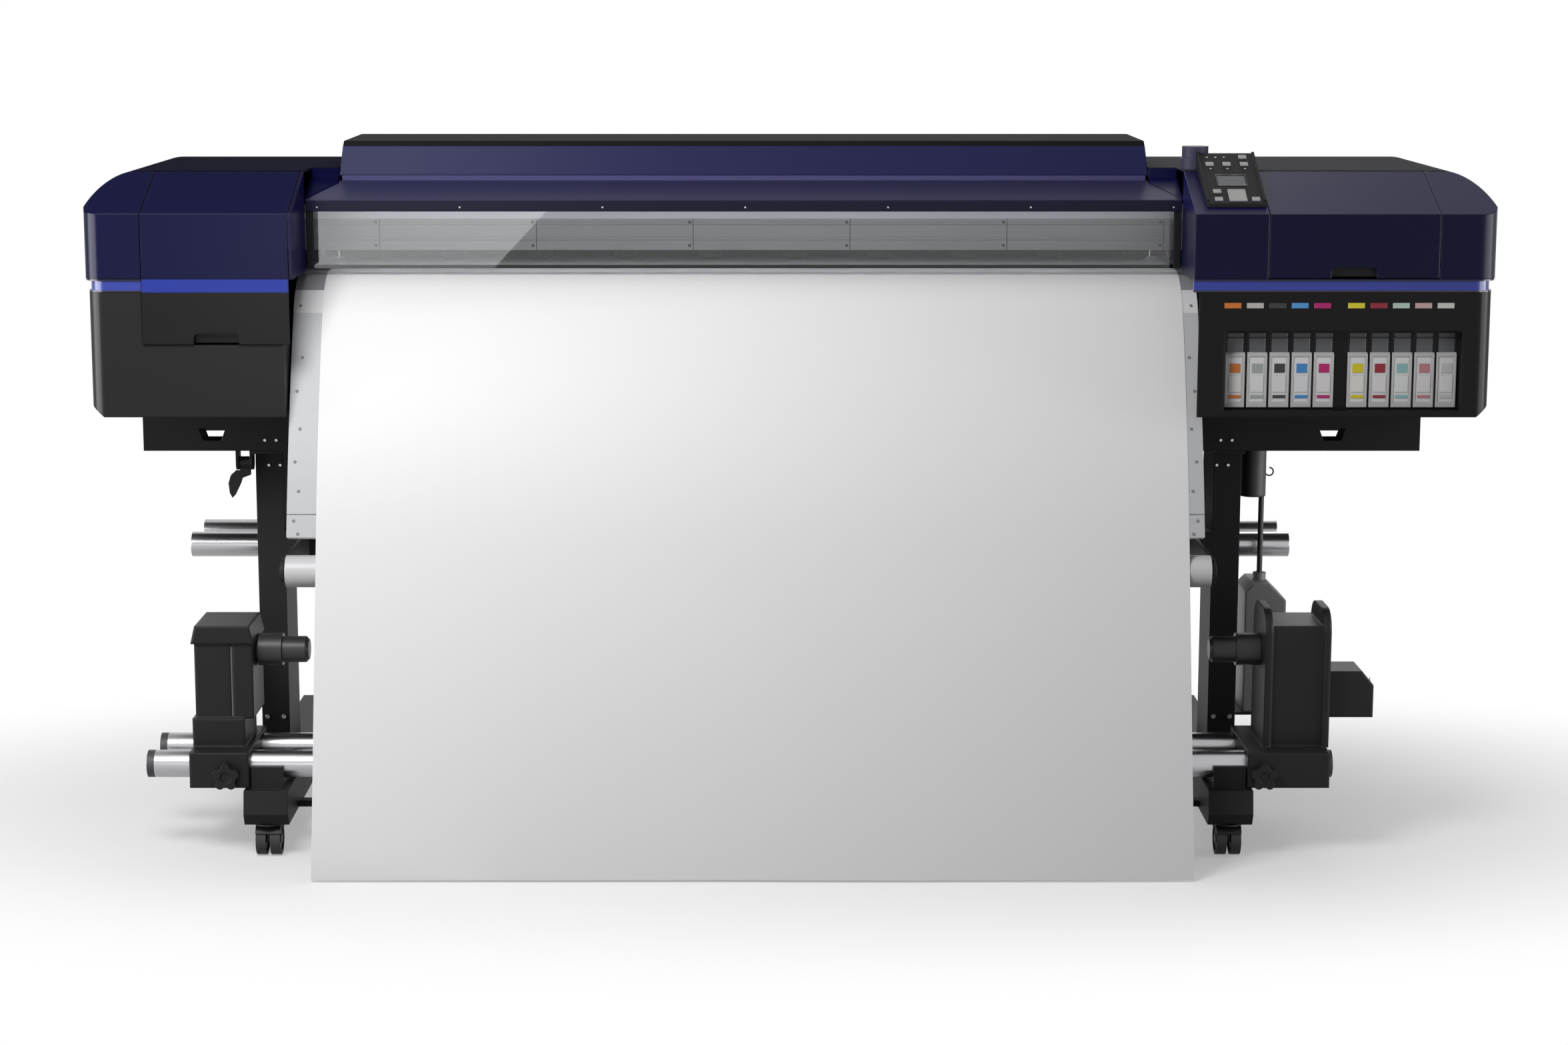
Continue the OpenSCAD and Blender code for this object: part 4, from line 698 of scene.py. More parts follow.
class Printer:
    """What the sub-assemblies share: the loaded nodes, the finishes and the screws."""

    def __init__(self, nodes: dict[str, bpy.types.Object]) -> None:
        """Builds the screws' tree and starts the store of finishes.

        Args:
            nodes: The loaded nodes by name.
        """
        self.nodes = nodes
        self.made: dict[str, bpy.types.Material] = {}
        steel = Brushed("screw_steel", (0.5, 0.5, 0.52), rough=0.35, streak=2000.0, edge=0.0004)
        self.screws = Fasteners("socket_screws", self.get(steel))

    def get(self, finish: Finish) -> bpy.types.Material:
        """The material of a finish, built at its first use and then shared.

        Args:
            finish: The finish.

        Returns:
            Its material.
        """
        if finish.name not in self.made:
            self.made[finish.name] = finish.material()
        return self.made[finish.name]

    def dress(self, finish: Finish, *names: str) -> None:
        """Gives nodes of the model a finish.

        Args:
            finish: The finish.
            names: Names of the nodes.
        """
        material = self.get(finish)
        for name in names:
            mesh = self.nodes[name].data
            mesh.materials.clear()
            mesh.materials.append(material)
            LOG.info("node %s in %s", name, finish.name)


@dataclass
class EndCovers:
    """Moulded ends: caps, service doors, accent stripes and lower covers."""

    stripe_low: float = 1068.0
    stripe_high: float = 1092.0
    ledge: float = 3.0
    slope_z: float = 1214.0
    roof_z: float = 1280.5
    notch_half: float = 46.0
    notch_depth: float = 15.0
    notch_floor: float = 1.5
    notch_top: float = 25.0
    notch_wall: float = 2.0
    notch_gap: float = 0.3
    door_back: float = -325.0
    corner_cut: tuple[float, float] = (32.0, 26.0)
    corner_r: float = 35.0
    plate_t: float = 2.0
    plate_rim: float = 7.5
    plate_gap: float = 0.3
    plate_inset: float = 1.5
    plate_end: float = 5.0
    door_notches: tuple[tuple[str, float, float], ...] = (
        ("left_service_door", -1065.0, 971.0), ("right_service_door", 1042.5, 1094.0))

    def build(self, machine: Printer) -> None:
        """Dresses the covers, lines the doors' finger notches and closes the lower corners.

        Args:
            machine: The shared nodes and finishes.
        """
        # Painted shade: everything above roof_z is painted near-black, darker than the same navy paint below
        # it, on the left cap and the left door.
        roof = above(self.roof_z, (0.0075, 0.008, 0.018), 0.95)
        left = Moulding("navy_paint_left", NAVY, NAVY_DRIFT, rough=0.3, specular=0.006, coat=0.22,
                        coat_below=self.slope_z, edge=0.009, zones=(roof,))
        band = Zone(BLUE, 0.3, (None, None, self.stripe_low), (None, None, self.stripe_high))
        door = replace(left, name="navy_door_paint", edge=0.006,
                       zones=(roof, band, below(self.stripe_low, BLACK, 0.5)))
        # Shaded copy of the navy paint for the right cap and door: the front is painted darker than the left
        # cap's (painted shade), and the slope and roof zones are painted lighter (painted reflection).
        right = Moulding("navy_paint_right_painted_light", (0.0026, 0.0023, 0.024), (0.003, 0.0027, 0.027), rough=0.34,
                         specular=0.09, coat=0.03, coat_below=self.slope_z, edge=0.0035,
                         zones=(above(self.slope_z, (0.0055, 0.0052, 0.052), 0.34),
                                above(self.roof_z, (0.019, 0.019, 0.0225), 0.95)))
        stripe = Moulding("blue_stripe_paint", BLUE, (0.034, 0.056, 0.36), rough=0.28, specular=0.1,
                          coat=0.5, edge=0.002,
                          zones=(below(self.stripe_low + self.ledge, BLACK, 0.5),
                                 above(self.stripe_high - self.ledge, NAVY, 0.3)))
        lower = Moulding("black_lower_cover", (0.0165, 0.0165, 0.0177), (0.019, 0.019, 0.0202), rough=0.45,
                         specular=0.03, coat=0.2, edge=0.008)
        housing = Moulding("black_ink_housing", (0.0065, 0.0063, 0.0066), (0.008, 0.0078, 0.0081), rough=0.45,
                           specular=0.03, coat=0.15, edge=0.006)
        machine.dress(left, "left_end_cap")
        machine.dress(right, "right_end_cap", "right_service_door")
        machine.dress(door, "left_service_door")
        machine.dress(stripe, "accent_strips")
        machine.dress(lower, "left_lower_cover")
        machine.dress(housing, "ink_housing")
        for name, x, low in self.door_notches:
            self._notch_lining(name, x, low, machine.get(lower))
        self._corner_plate("left_corner_plate", "left_lower_cover", -1, machine.get(lower))
        self._corner_plate("right_corner_plate", "ink_housing", 1, machine.get(housing))

    def _corner_plate(self, name: str, cover: str, side: int, material: bpy.types.Material) -> None:
        """Closes the slanted lower corner of one lower cover from inside.

        Args:
            name: Name of the piece.
            cover: Node of the lower cover.
            side: -1 at the left end, 1 at the right.
            material: Finish of the plate.
        """
        low, high = box_mm(cover)
        width, height = self.corner_cut
        bend = self.corner_r - self.plate_rim
        outer = max(abs(end.x) / MM for cap in ("left_end_cap", "right_end_cap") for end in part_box(cap))
        front, back = low.y + self.plate_inset + bend, high.y - self.plate_inset - bend
        reach = math.sqrt(bend ** 2 - self.plate_end ** 2)
        steps = [-reach * math.cos(math.radians(15.0 * k)) for k in range(7)]
        rows = [(front + d, d) for d in steps] + [(back - d, d) for d in reversed(steps)]
        inner, base, top = width - 1, self.plate_gap, self.plate_gap + self.plate_t
        sections = []
        for y, d in rows:
            rim = self.corner_r - math.sqrt(bend ** 2 - d ** 2)
            sections.append([
                (side * (outer - inward), y, low.z + height * (1 - inward / width) + lift)
                for inward, lift in ((rim, base), (inner, base), (inner, top), (rim, top))])
        kit = MeshKit(name)
        kit.loft(sections)
        kit.piece((material,), FIXED)

    def _notch_lining(self, door: str, x: float, low: float, material: bpy.types.Material) -> None:
        """Makes the pocket behind the finger notch of one door.

        Args:
            door: Name of the door.
            x: Middle of the notch.
            low: Lower edge of the door.
            material: Finish of the pocket.
        """
        left, right = x - self.notch_half, x + self.notch_half
        front, back = self.door_back + self.notch_gap, self.door_back + self.notch_depth
        wall, floor, top = self.notch_wall, low + self.notch_floor, low + self.notch_top
        kit = MeshKit(f"{door}_notch")
        for near, far in (((left, back - wall, floor), (right, back, top)),
                          ((left, front, top - wall), (right, back, top)),
                          ((left, front, floor), (left + wall, back, top)),
                          ((right - wall, front, floor), (right, back, top))):
            kit.slab(near, far, 0.5)
        kit.piece((material,), door)


@dataclass
class TopCovers:
    """Raised top cover, hinged front cover with its window, and the rear cover."""

    lip_y: float = -152.0
    lip_low: float = 1205.0
    lip_high: float = 1225.5
    painted_highlight: tuple[float, float] = (1256.0, 1267.0)
    frame_y: tuple[float, float] = (-149.5, -60.0)
    frame_top: float = 1212.0
    dot_inset: float = 22.0
    dot_pitch: float = 271.0
    roof_z: float = 1322.5
    rear_inset: float = 40.0
    rear_columns: int = 9
    rear_rows: tuple[float, float] = (14.0, 170.0)

    def build(self, machine: Printer) -> None:
        """Dresses the covers and sets their screws.

        Args:
            machine: The shared nodes and finishes.
        """
        # Painted shade: the top above roof_z is painted black, darker than the same navy cover below it.
        top = Moulding("navy_top_cover", (0.021, 0.0225, 0.084), (0.024, 0.0255, 0.09), rough=0.4,
                       specular=0.05, coat=0.03, coat_below=self.roof_z, edge=0.005,
                       zones=(above(self.roof_z, BLACK, 0.95),))
        inside = Zone(BLACK, 0.5, (None, self.frame_y[0], None), (None, self.frame_y[1], self.frame_top))
        # Painted shade: the downward-facing lip under the front edge is painted darker than the cover.
        lip = Zone((0.01, 0.01, 0.028), 0.45, high=(None, self.lip_y + 1.0, self.lip_high))
        front = Moulding("navy_front_cover", (0.028, 0.028, 0.078), (0.031, 0.031, 0.084), rough=0.4,
                         specular=0.05, coat=0.12, edge=0.004, zones=(inside, lip))
        rear = Moulding("black_rear_cover", BLACK, BLACK_DRIFT, rough=0.55, specular=0.12)
        machine.dress(top, "top_cover")
        machine.dress(front, "front_cover")
        machine.dress(rear, "rear_cover")
        machine.dress(Window("clear_window"), "cover_window")
        low, high = box_mm("front_cover")
        spots = [((x, self.lip_y - 0.3, self.lip_low + 8.0), TO_FRONT)
                 for x in stations(low.x + self.dot_inset, high.x, self.dot_pitch)]
        machine.screws.set_on("front_cover_screws", spots, "front_cover", "black_plastic", 2.0, 1.4)
        low, high = box_mm("rear_cover")
        columns = spread(low.x + self.rear_inset, high.x - self.rear_inset, self.rear_columns)
        spots = [((x, high.y + PROUD, low.z + row), TO_BACK) for x in columns for row in self.rear_rows]
        machine.screws.set_on("rear_cover_screws", spots, FIXED, "black_plastic", 4.5, 2.0)
        # Painted highlight: a thin lighter strip along the top cover's front edge stands in for the light
        # line that edge catches.
        edge = Moulding("cover_edge_painted_highlight", (0.07, 0.066, 0.17), (0.076, 0.072, 0.18), rough=0.4, specular=0.1,
                        edge=0.001)
        low, high = box_mm("top_cover")
        painted_highlight = MeshKit("top_cover_painted_highlight")
        painted_highlight.slab((low.x + 5, low.y + 0.4, self.painted_highlight[0]), (high.x - 5, low.y + 2.6, self.painted_highlight[1]), 0.4)
        painted_highlight.piece((machine.get(edge),), FIXED)


@dataclass
class PrintBay:
    """Carriage beam, platen, media drive and carriage, seen through the window."""

    beam_lip: float = 1176.0
    seam_pitch: float = 308.6
    seam_at: float = -187.8
    screw_side: float = 6.0
    screw_end: float = 740.0
    screw_rows: tuple[float, float] = (9.0, 55.0)

    def build(self, machine: Printer) -> None:
        """Dresses the bay and sets the beam's screws.

        Args:
            machine: The shared nodes and finishes.
        """
        beam = Brushed("beam_extrusion", (0.27, 0.275, 0.28), rough=0.42, seam_pitch=self.seam_pitch * MM,
                       seam_offset=-self.seam_at * MM, metal=0.5,
                       zones=(above(self.beam_lip, (0.5, 0.5, 0.54), 0.4, metal=0.5),))
        platen = Brushed("platen_plate", (0.5, 0.51, 0.53), rough=0.36)
        grit = Brushed("ground_shaft", (0.46, 0.46, 0.48), rough=0.32, along=Axis.Y)
        rubber = Moulding("roller_rubber", (0.02, 0.02, 0.02), (0.028, 0.028, 0.028), rough=0.7, grain=2600.0)
        arms = Moulding("dull_pressed_steel", (0.042, 0.042, 0.042), (0.053, 0.053, 0.052), rough=0.5,
                        edge=0.001)
        head = Moulding("carriage_shell", (0.028, 0.028, 0.031), (0.034, 0.034, 0.037), rough=0.48,
                        edge=0.005)
        machine.dress(beam, "carriage_beam")
        machine.dress(platen, "platen")
        machine.dress(grit, "grit_roller")
        machine.dress(rubber, "pinch_rollers")
        machine.dress(arms, "pinch_arms")
        machine.dress(head, "carriage")
        low, _ = box_mm("carriage_beam")
        first = self.seam_at - 2 * self.seam_pitch - self.screw_side
        spots = [((x, low.y - PROUD, low.z + row), TO_FRONT)
                 for x in stations(first, self.screw_end, self.seam_pitch) for row in self.screw_rows]
        dark = Moulding("blackened_screw", (0.03, 0.03, 0.032), (0.04, 0.04, 0.042), rough=0.5, edge=0.0005)
        machine.screws.set_on("beam_screws", spots, FIXED, "ground_steel", 3.2, 2.0,
                              machine.get(dark))


@dataclass
class WebRoute:
    """Route of the web from the supply roll over the platen and the heater to the floor."""

    platen_z: float = 1088.0
    platen_front: float = 95.0
    platen_back: float = 208.0
    pre_r: float = 107.0
    bend_r: float = 130.0
    bend: float = 62.0
    long_r: float = 2000.0
    end: float = 74.5
    roll_z: float = 640.0
    foot_z: float = 4.0

    def over_heater(self, angle: float, lift: float) -> tuple[float, float]:
        """A point over the heater: over its upper bend, then over its long face.

        Args:
            angle: Degrees from the level.
            lift: Height above the heater.

        Returns:
            Depth and height.
        """
        centre, radius = (-self.platen_front, self.platen_z - self.bend_r), self.bend_r
        if angle > self.bend:
            centre = arc_point(arc_point(centre, radius, self.bend), -self.long_r, self.bend)
            radius = self.long_r
        return arc_point(centre, radius + lift, angle)

    def facing(self, angle: float) -> Point:
        """Outward direction at an angle of the heater's face."""
        return 0.0, *arc_point((0.0, 0.0), 1.0, angle)

    def line(self, lift: float) -> list[tuple[float, float]]:
        """The whole route at a lift above the platen and heater.

        Args:
            lift: Height of the line in millimetres.

        Returns:
            Depth and height of its points, from the roll to the floor.
        """
        pre_z = self.platen_z - self.pre_r
        pre_y = self.platen_back + self.pre_r
        rise = 12
        pts = [(pre_y + lift, self.roll_z + (pre_z - self.roll_z) * k / rise) for k in range(rise)]
        for k in range(17):
            a = math.radians(90.0 * k / 16)
            pts.append((self.platen_back + (self.pre_r + lift) * math.cos(a),
                        pre_z + (self.pre_r + lift) * math.sin(a)))
        for k in range(1, 9):
            y = self.platen_back - (self.platen_back + self.platen_front) * k / 8
            pts.append((y, self.platen_z + lift))
        pts += [self.over_heater(self.bend * k / 20, lift) for k in range(1, 21)]
        pts += [self.over_heater(self.bend + (self.end - self.bend) * k / 16, lift) for k in range(1, 17)]
        y, z = pts[-1]
        slope = math.radians(self.end)
        drop = (z - self.foot_z) / math.sin(slope)
        for k in range(1, 31):
            d = drop * k / 30
            pts.append((y - d * math.cos(slope), z - d * math.sin(slope)))
        return pts


@dataclass
class VinylWeb:
    """The sheet of film that hangs from the machine, with the wound supply roll."""

    left: float = -883.0
    width: float = 1626.0
    lift: float = 0.6
    thick: float = 0.4
    columns: int = 64
    ripple: float = 0.9
    wave_lengths: tuple[float, float, float] = (171.0, 83.0, 210.0)
    second_wave: float = 0.6
    free_drop: float = 40.0
    route: WebRoute = field(default_factory=WebRoute)

    def build(self, machine: Printer) -> None:
        """Makes the sheet and dresses the roll.

        Args:
            machine: The shared nodes and finishes.
        """
        film = Film("white_film")
        line = self.route.line(self.lift)
        free_z = self.route.over_heater(self.route.end, 0.0)[1] - self.free_drop
        wide, narrow, tall = self.wave_lengths
        verts = []
        for y, z in line:
            loose = min(1.0, max(0.0, (free_z - z) / free_z))
            for k in range(self.columns + 1):
                x = self.left + self.width * k / self.columns
                wave = math.sin(x / wide) + self.second_wave * math.sin(x / narrow + z / tall)
                verts.append((x * MM, (y - self.ripple * loose * wave) * MM, z * MM))
        row = self.columns + 1
        faces = [(r * row + k, (r + 1) * row + k, (r + 1) * row + k + 1, r * row + k + 1)
                 for r in range(len(line) - 1) for k in range(self.columns)]
        mesh = bpy.data.meshes.new("vinyl_sheet")
        mesh.from_pydata(verts, [], faces)
        mesh.materials.append(machine.get(film))
        for polygon in mesh.polygons:
            polygon.use_smooth = True
        uses = Counter(key for polygon in mesh.polygons for key in polygon.edge_keys)
        for edge in mesh.edges:
            edge.use_edge_sharp = uses[edge.key] == 1
        sheet = bpy.data.objects.new("vinyl_sheet", mesh)
        wall = sheet.modifiers.new("thickness", "SOLIDIFY")
        wall.thickness = self.thick * MM
        wall.offset = 0.0
        adopt(sheet, FIXED)
        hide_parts("vinyl_web")
        length = sum(math.dist(a, b) for a, b in zip(line, line[1:]))
        stub = (0.05, 0.05, 0.052)
        roll = Moulding("wound_film", (0.84, 0.84, 0.845), (0.8, 0.8, 0.81), rough=0.45, grain=2200.0,
                        edge=0.001,
                        zones=(Zone(stub, 0.5, high=(self.left - 0.2, None, None)),
                               Zone(stub, 0.5, low=(self.left + self.width + 0.2, None, None))))
        machine.dress(roll, "supply_roll")


@dataclass
class DryingHeater:
    """Curved heater under the web, its screws, and the guide roller below it."""

    left: float = -938.0
    right: float = 772.0
    inset: float = 13.0
    painted_light_band_z: float = 1018.0
    painted_shade_band_z: float = 1058.0
    stagger: float = 8.0
    screw_angles: tuple[float, ...] = (56.0, 64.6, 66.5, 68.6, 70.4, 72.0, 73.6, 74.3)
    route: WebRoute = field(default_factory=WebRoute)

    def build(self, machine: Printer) -> None:
        """Dresses the heater and the roller and sets the screws.

        Args:
            machine: The shared nodes and finishes.
        """
        # Painted light and shade on the heater's grey: the middle band is painted lighter to make up for the
        # end cap's shadow, and the top band, where the face curves back under the cover, is painted darker.
        grey = Moulding("heater_paint", LIGHT_GREY, (0.6, 0.605, 0.615), rough=0.4, grain=900.0, specular=0.2,
                        edge=0.002, zones=(above(self.painted_light_band_z, (0.78, 0.775, 0.79), 0.42),
                                           above(self.painted_shade_band_z, (0.29, 0.285, 0.31), 0.5)))
        tube = Moulding("guide_roller_paint", (0.66, 0.66, 0.67), (0.62, 0.62, 0.635), rough=0.35, edge=0.002)
        machine.dress(grey, "after_heater")
        machine.dress(tube, "guide_roller")
        spots = []
        for k, angle in enumerate(self.screw_angles):
            y, z = self.route.over_heater(angle, 0.2)
            inset = self.inset + self.stagger * (k % 2)
            for x in (self.left + inset, self.right - inset):
                spots.append(((x, y, z), self.route.facing(angle)))
        dull = Moulding("heater_screw_zinc", (0.26, 0.26, 0.27), (0.3, 0.3, 0.31), rough=0.5, edge=0.0005)
        machine.screws.set_on("heater_screws", spots, FIXED, "ground_steel", 3.2, 1.4,
                              machine.get(dull))


@dataclass
class InkBank:
    """Ten cartridges with bare labels, and the row of bare colour tags above them."""

    first_x: float = 812.0
    pitch: float = 41.5
    group: float = 21.5
    per_group: int = 5
    face_y: float = -300.0
    recess: float = 0.8
    low: float = 850.0
    height: float = 103.0
    front_y: float = -322.0
    tag_left: float = 7.0
    tag_width: float = 31.0
    tag_low: float = 1038.0
    tag_height: float = 10.0
    paper: tuple[float, float, float, float] = (4.5, 32.5, 9.0, 94.0)
    prints: tuple[tuple[int, float, float, float, float], ...] = (
        (1, 9.0, 29.0, 65.0, 82.0), (2, 7.0, 31.0, 28.0, 60.0), (1, 7.0, 31.0, 17.0, 23.0))
    inks: tuple[Colour, ...] = (
        (0.72, 0.2, 0.035), (0.42, 0.45, 0.45), (0.02, 0.02, 0.02), (0.06, 0.27, 0.62), (0.5, 0.012, 0.17),
        (0.78, 0.66, 0.02), (0.3, 0.012, 0.03), (0.3, 0.56, 0.57), (0.6, 0.24, 0.29), (0.66, 0.66, 0.66),
    )
    pale_tags: tuple[tuple[int, Colour], ...] = (
        (2, (0.62, 0.58, 0.54)), (4, (0.1, 0.37, 0.78)), (6, (0.86, 0.76, 0.04)), (8, (0.56, 0.74, 0.64)),
        (9, (0.68, 0.46, 0.46)), (10, (0.74, 0.75, 0.69)))

    def build(self, machine: Printer) -> None:
        """Dresses the cartridges and makes their labels and tags.

        Args:
            machine: The shared nodes and finishes.
        """
        case = Moulding("cartridge_case", (0.56, 0.56, 0.57), (0.6, 0.6, 0.605), rough=0.38, edge=0.002,
                        zones=(above(self.low + self.height, (0.085, 0.087, 0.092), 0.45),))
        paper = machine.get(
            Moulding("label_paper", (0.85, 0.85, 0.855), (0.81, 0.81, 0.82), rough=0.5))
        for k, ink in enumerate(self.inks):
            number = k + 1
            x = self.first_x + k * self.pitch + (self.group if k >= self.per_group else 0.0)
            machine.dress(case, f"cartridge_{number}")
            tint = self._ink(machine, f"ink_colour_{number}", ink)
            pale = machine.get(Moulding(
                f"ink_pale_{number}", tuple(0.76 + 0.14 * c for c in ink), (0.84, 0.84, 0.85), rough=0.5))
            self._label(number, x, (paper, tint, pale))
            tag = dict(self.pale_tags).get(number, ink)
            self._tag(number, x, self._ink(machine, f"tag_colour_{number}", tag))

    def _ink(self, machine: Printer, name: str, colour: Colour) -> bpy.types.Material:
        """A plain ink colour as a material."""
        return machine.get(Moulding(name, colour, dimmed(colour, 0.93), rough=0.42, edge=0.0008))

    def _label(self, number: int, x: float, materials: Sequence[bpy.types.Material]) -> None:
        """Makes the bare label on one cartridge's face.

        Args:
            number: Number of the cartridge.
            x: Left side of the cartridge.
            materials: Paper, ink colour and pale tint.
        """
        back = self.face_y + self.recess
        sheet, print_y = back - 0.25, back - 0.5
        left, right, low, high = self.paper
        kit = MeshKit(f"cartridge_label_{number}")
        kit.slab((x + left, sheet, self.low + low), (x + right, back, self.low + high), 0.1)
        for index, left, right, low, high in self.prints:
            kit.slab((x + left, print_y, self.low + low), (x + right, sheet + 0.05, self.low + high), 0.1,
                     index)
        kit.piece(materials, f"cartridge_{number}")

    def _tag(self, number: int, x: float, material: bpy.types.Material) -> None:
        """Makes one bare colour tag on the housing's front.

        Args:
            number: Number of the cartridge under it.
            x: Left side of that cartridge.
            material: Ink colour.
        """
        left, right = x - self.tag_left, x - self.tag_left + self.tag_width
        front, back = self.front_y - 1.0, self.front_y + 0.3
        kit = MeshKit(f"ink_tag_{number}")
        kit.slab((left, front, self.tag_low), (right, back, self.tag_low + self.tag_height), 0.4)
        kit.piece((material,), FIXED)


@dataclass
class OperatorPanel:
    """Sloped panel with its screen, lamps and keys."""

    middle: float = 827.0
    front: float = -300.0
    base_z: float = 1229.89
    slope: float = 26.0595
    pale_from: tuple[float, float] = (-127.8, 1281.0)
    glass: tuple[float, float, float, float] = (-25.6, 69.4, 25.6, 104.6)
    bezel: tuple[tuple[float, float, float, float], ...] = (
        (-29.0, 66.0, 29.0, 68.6), (-29.0, 105.4, 29.0, 108.0),
        (-29.0, 68.4, -26.4, 105.6), (26.4, 68.4, 29.0, 105.6))
    lamps: tuple[tuple[float, float], ...] = (
        (-36.0, 175.0), (-20.0, 175.0), (-4.0, 175.0), (-34.0, 132.0), (-2.0, 132.0), (31.0, 132.0))
    keys: tuple[str, ...] = ("power", "menu", "function", "setup", "pause", "feed", "arrows", "enter")

    def frame(self) -> Matrix:
        """Matrix from the panel's own axes to the part's, in millimetres."""
        return Matrix.Translation((self.middle, self.front, self.base_z)) @ Matrix.Rotation(
            math.radians(self.slope), 4, "X")

    def build(self, machine: Printer) -> None:
        """Dresses the panel and makes its screen and lamps.

        Args:
            machine: The shared nodes and finishes.
        """
        panel = Moulding("panel_film", (0.012, 0.012, 0.0135), (0.015, 0.015, 0.0165), rough=0.55,
                         specular=0.1, edge=0.003,
                         zones=(Zone((0.06, 0.057, 0.105), 0.5, (None, *self.pale_from)),))
        keys = Moulding("key_moulding", (0.46, 0.46, 0.45), (0.5, 0.5, 0.49), rough=0.45, specular=0.2,
                        edge=0.0012)
        machine.dress(panel, "control_panel")
        machine.dress(keys, *(f"key_{name}" for name in self.keys))
        screen = Glow("screen_glass", (0.05, 0.054, 0.06), (0.1, 0.115, 0.13), 0.2)
        bezel = Moulding("screen_bezel", (0.012, 0.012, 0.013), (0.016, 0.016, 0.017), rough=0.2)
        turn = self.frame()
        kit = MeshKit("panel_screen")
        left, low, right, high = self.glass
        kit.slab((left, low, -0.95), (right, high, -0.2), 0.2, 0, turn)
        for left, low, right, high in self.bezel:
            kit.slab((left, low, 0.0), (right, high, 0.7), 0.25, 1, turn)
        kit.piece((machine.get(screen), machine.get(bezel)), FIXED)
        lamp = Glow("indicator_lamp", (0.5, 0.52, 0.5), (0.35, 0.6, 0.4), 0.4)
        spots = MeshKit("panel_lamps")
        for u, v in self.lamps:
            spots.slab((u - 2, v - 1.2, -0.2), (u + 2, v + 1.2, 0.6), 0.3, 0, turn)
        spots.piece((machine.get(lamp),), FIXED)


@dataclass
class StandAndRails:
    """Chassis, stand, rail tubes, casters and the waste bottle."""

    caster_y: tuple[float, ...] = (-358.0, -358.0, 400.0, 400.0)
    axle: tuple[float, float] = (12.0, 30.5)
    hub_r: float = 24.5
    rail_caps: tuple[float, float] = (-1202.0, 1012.5)
    bottle_cap: float = 469.2
    post_x: tuple[float, float] = (-1011.0, 855.0)
    foot_bolts: tuple[float, float] = (150.0, 205.0)
    bolt_side: float = 16.0
    tray: tuple[float, float] = (220.6, 812.0)
    tray_inset: float = 40.0
    tray_bolts: int = 12
    post_y: float = -78.6
    post_bolts: tuple[float, ...] = (-1012.0, -990.0, 834.0, 856.0)
    post_joint: float = 707.0
    beam_joint: tuple[float, float] = (-120.6, 762.0)

    def build(self, machine: Printer) -> None:
        """Dresses the stand and sets its bolts.

        Args:
            machine: The shared nodes and finishes.
        """
        coat = Moulding("black_powder_coat", (0.025, 0.025, 0.0262), (0.029, 0.029, 0.0302), rough=0.5,
                        grain=1100.0, grain_depth=0.00008, specular=0.08, edge=0.0025)
        machine.dress(coat, "chassis", "stand")
        cap = (0.03, 0.03, 0.032)
        tubes = Brushed("chrome_tube", (0.46, 0.46, 0.475), rough=0.26, streak=300.0,
                        zones=(Zone(cap, 0.5, high=(self.rail_caps[0], None, None)),
                               Zone(cap, 0.5, low=(self.rail_caps[1], None, None))))
        machine.dress(tubes, "guide_rails")
        fork = Moulding("caster_plastic", BLACK, (0.018, 0.018, 0.019), rough=0.45, specular=0.2, edge=0.0015)
        for k, y in enumerate(self.caster_y):
            hub = Ring((0.06, 0.06, 0.063), 0.4, (y + self.axle[0], self.axle[1]), self.hub_r)
            wheel = Moulding(f"caster_tread_{k // 2}", (0.03, 0.03, 0.031), (0.036, 0.036, 0.037), rough=0.7,
                             grain=1800.0, edge=0.0015, zones=(hub,))
            machine.dress(fork, f"caster_fork_{k + 1}")
            machine.dress(wheel, f"caster_wheels_{k + 1}")
        bottle = Moulding("waste_bottle_plastic", (0.4, 0.405, 0.41), (0.46, 0.465, 0.47), rough=0.45,
                          edge=0.006, zones=(above(self.bottle_cap, BLACK, 0.5),))
        machine.dress(bottle, "waste_bottle")
        self._bolts(machine)

    def _bolts(self, machine: Printer) -> None:
        """Sets the bolts that hold the legs and the tray.

        Args:
            machine: The shared nodes and finishes.
        """
        spots = [((x + side, self.post_y, z), TO_FRONT) for x in self.post_x for z in self.foot_bolts
                 for side in (-self.bolt_side, self.bolt_side)]
        low, high = box_mm("chassis")
        spots += [((x, *self.tray), TO_BACK)
                  for x in spread(low.x + self.tray_inset, high.x - self.tray_inset, self.tray_bolts)]
        machine.screws.set_on("stand_bolts", spots, FIXED, "black_steel", 5.0, 3.0)
        joints = [((x, *joint), TO_FRONT) for x in self.post_bolts
                  for joint in ((self.post_y, self.post_joint), self.beam_joint)]
        machine.screws.set_on("post_bolts", joints, FIXED, "ground_steel", 3.2, 2.0)


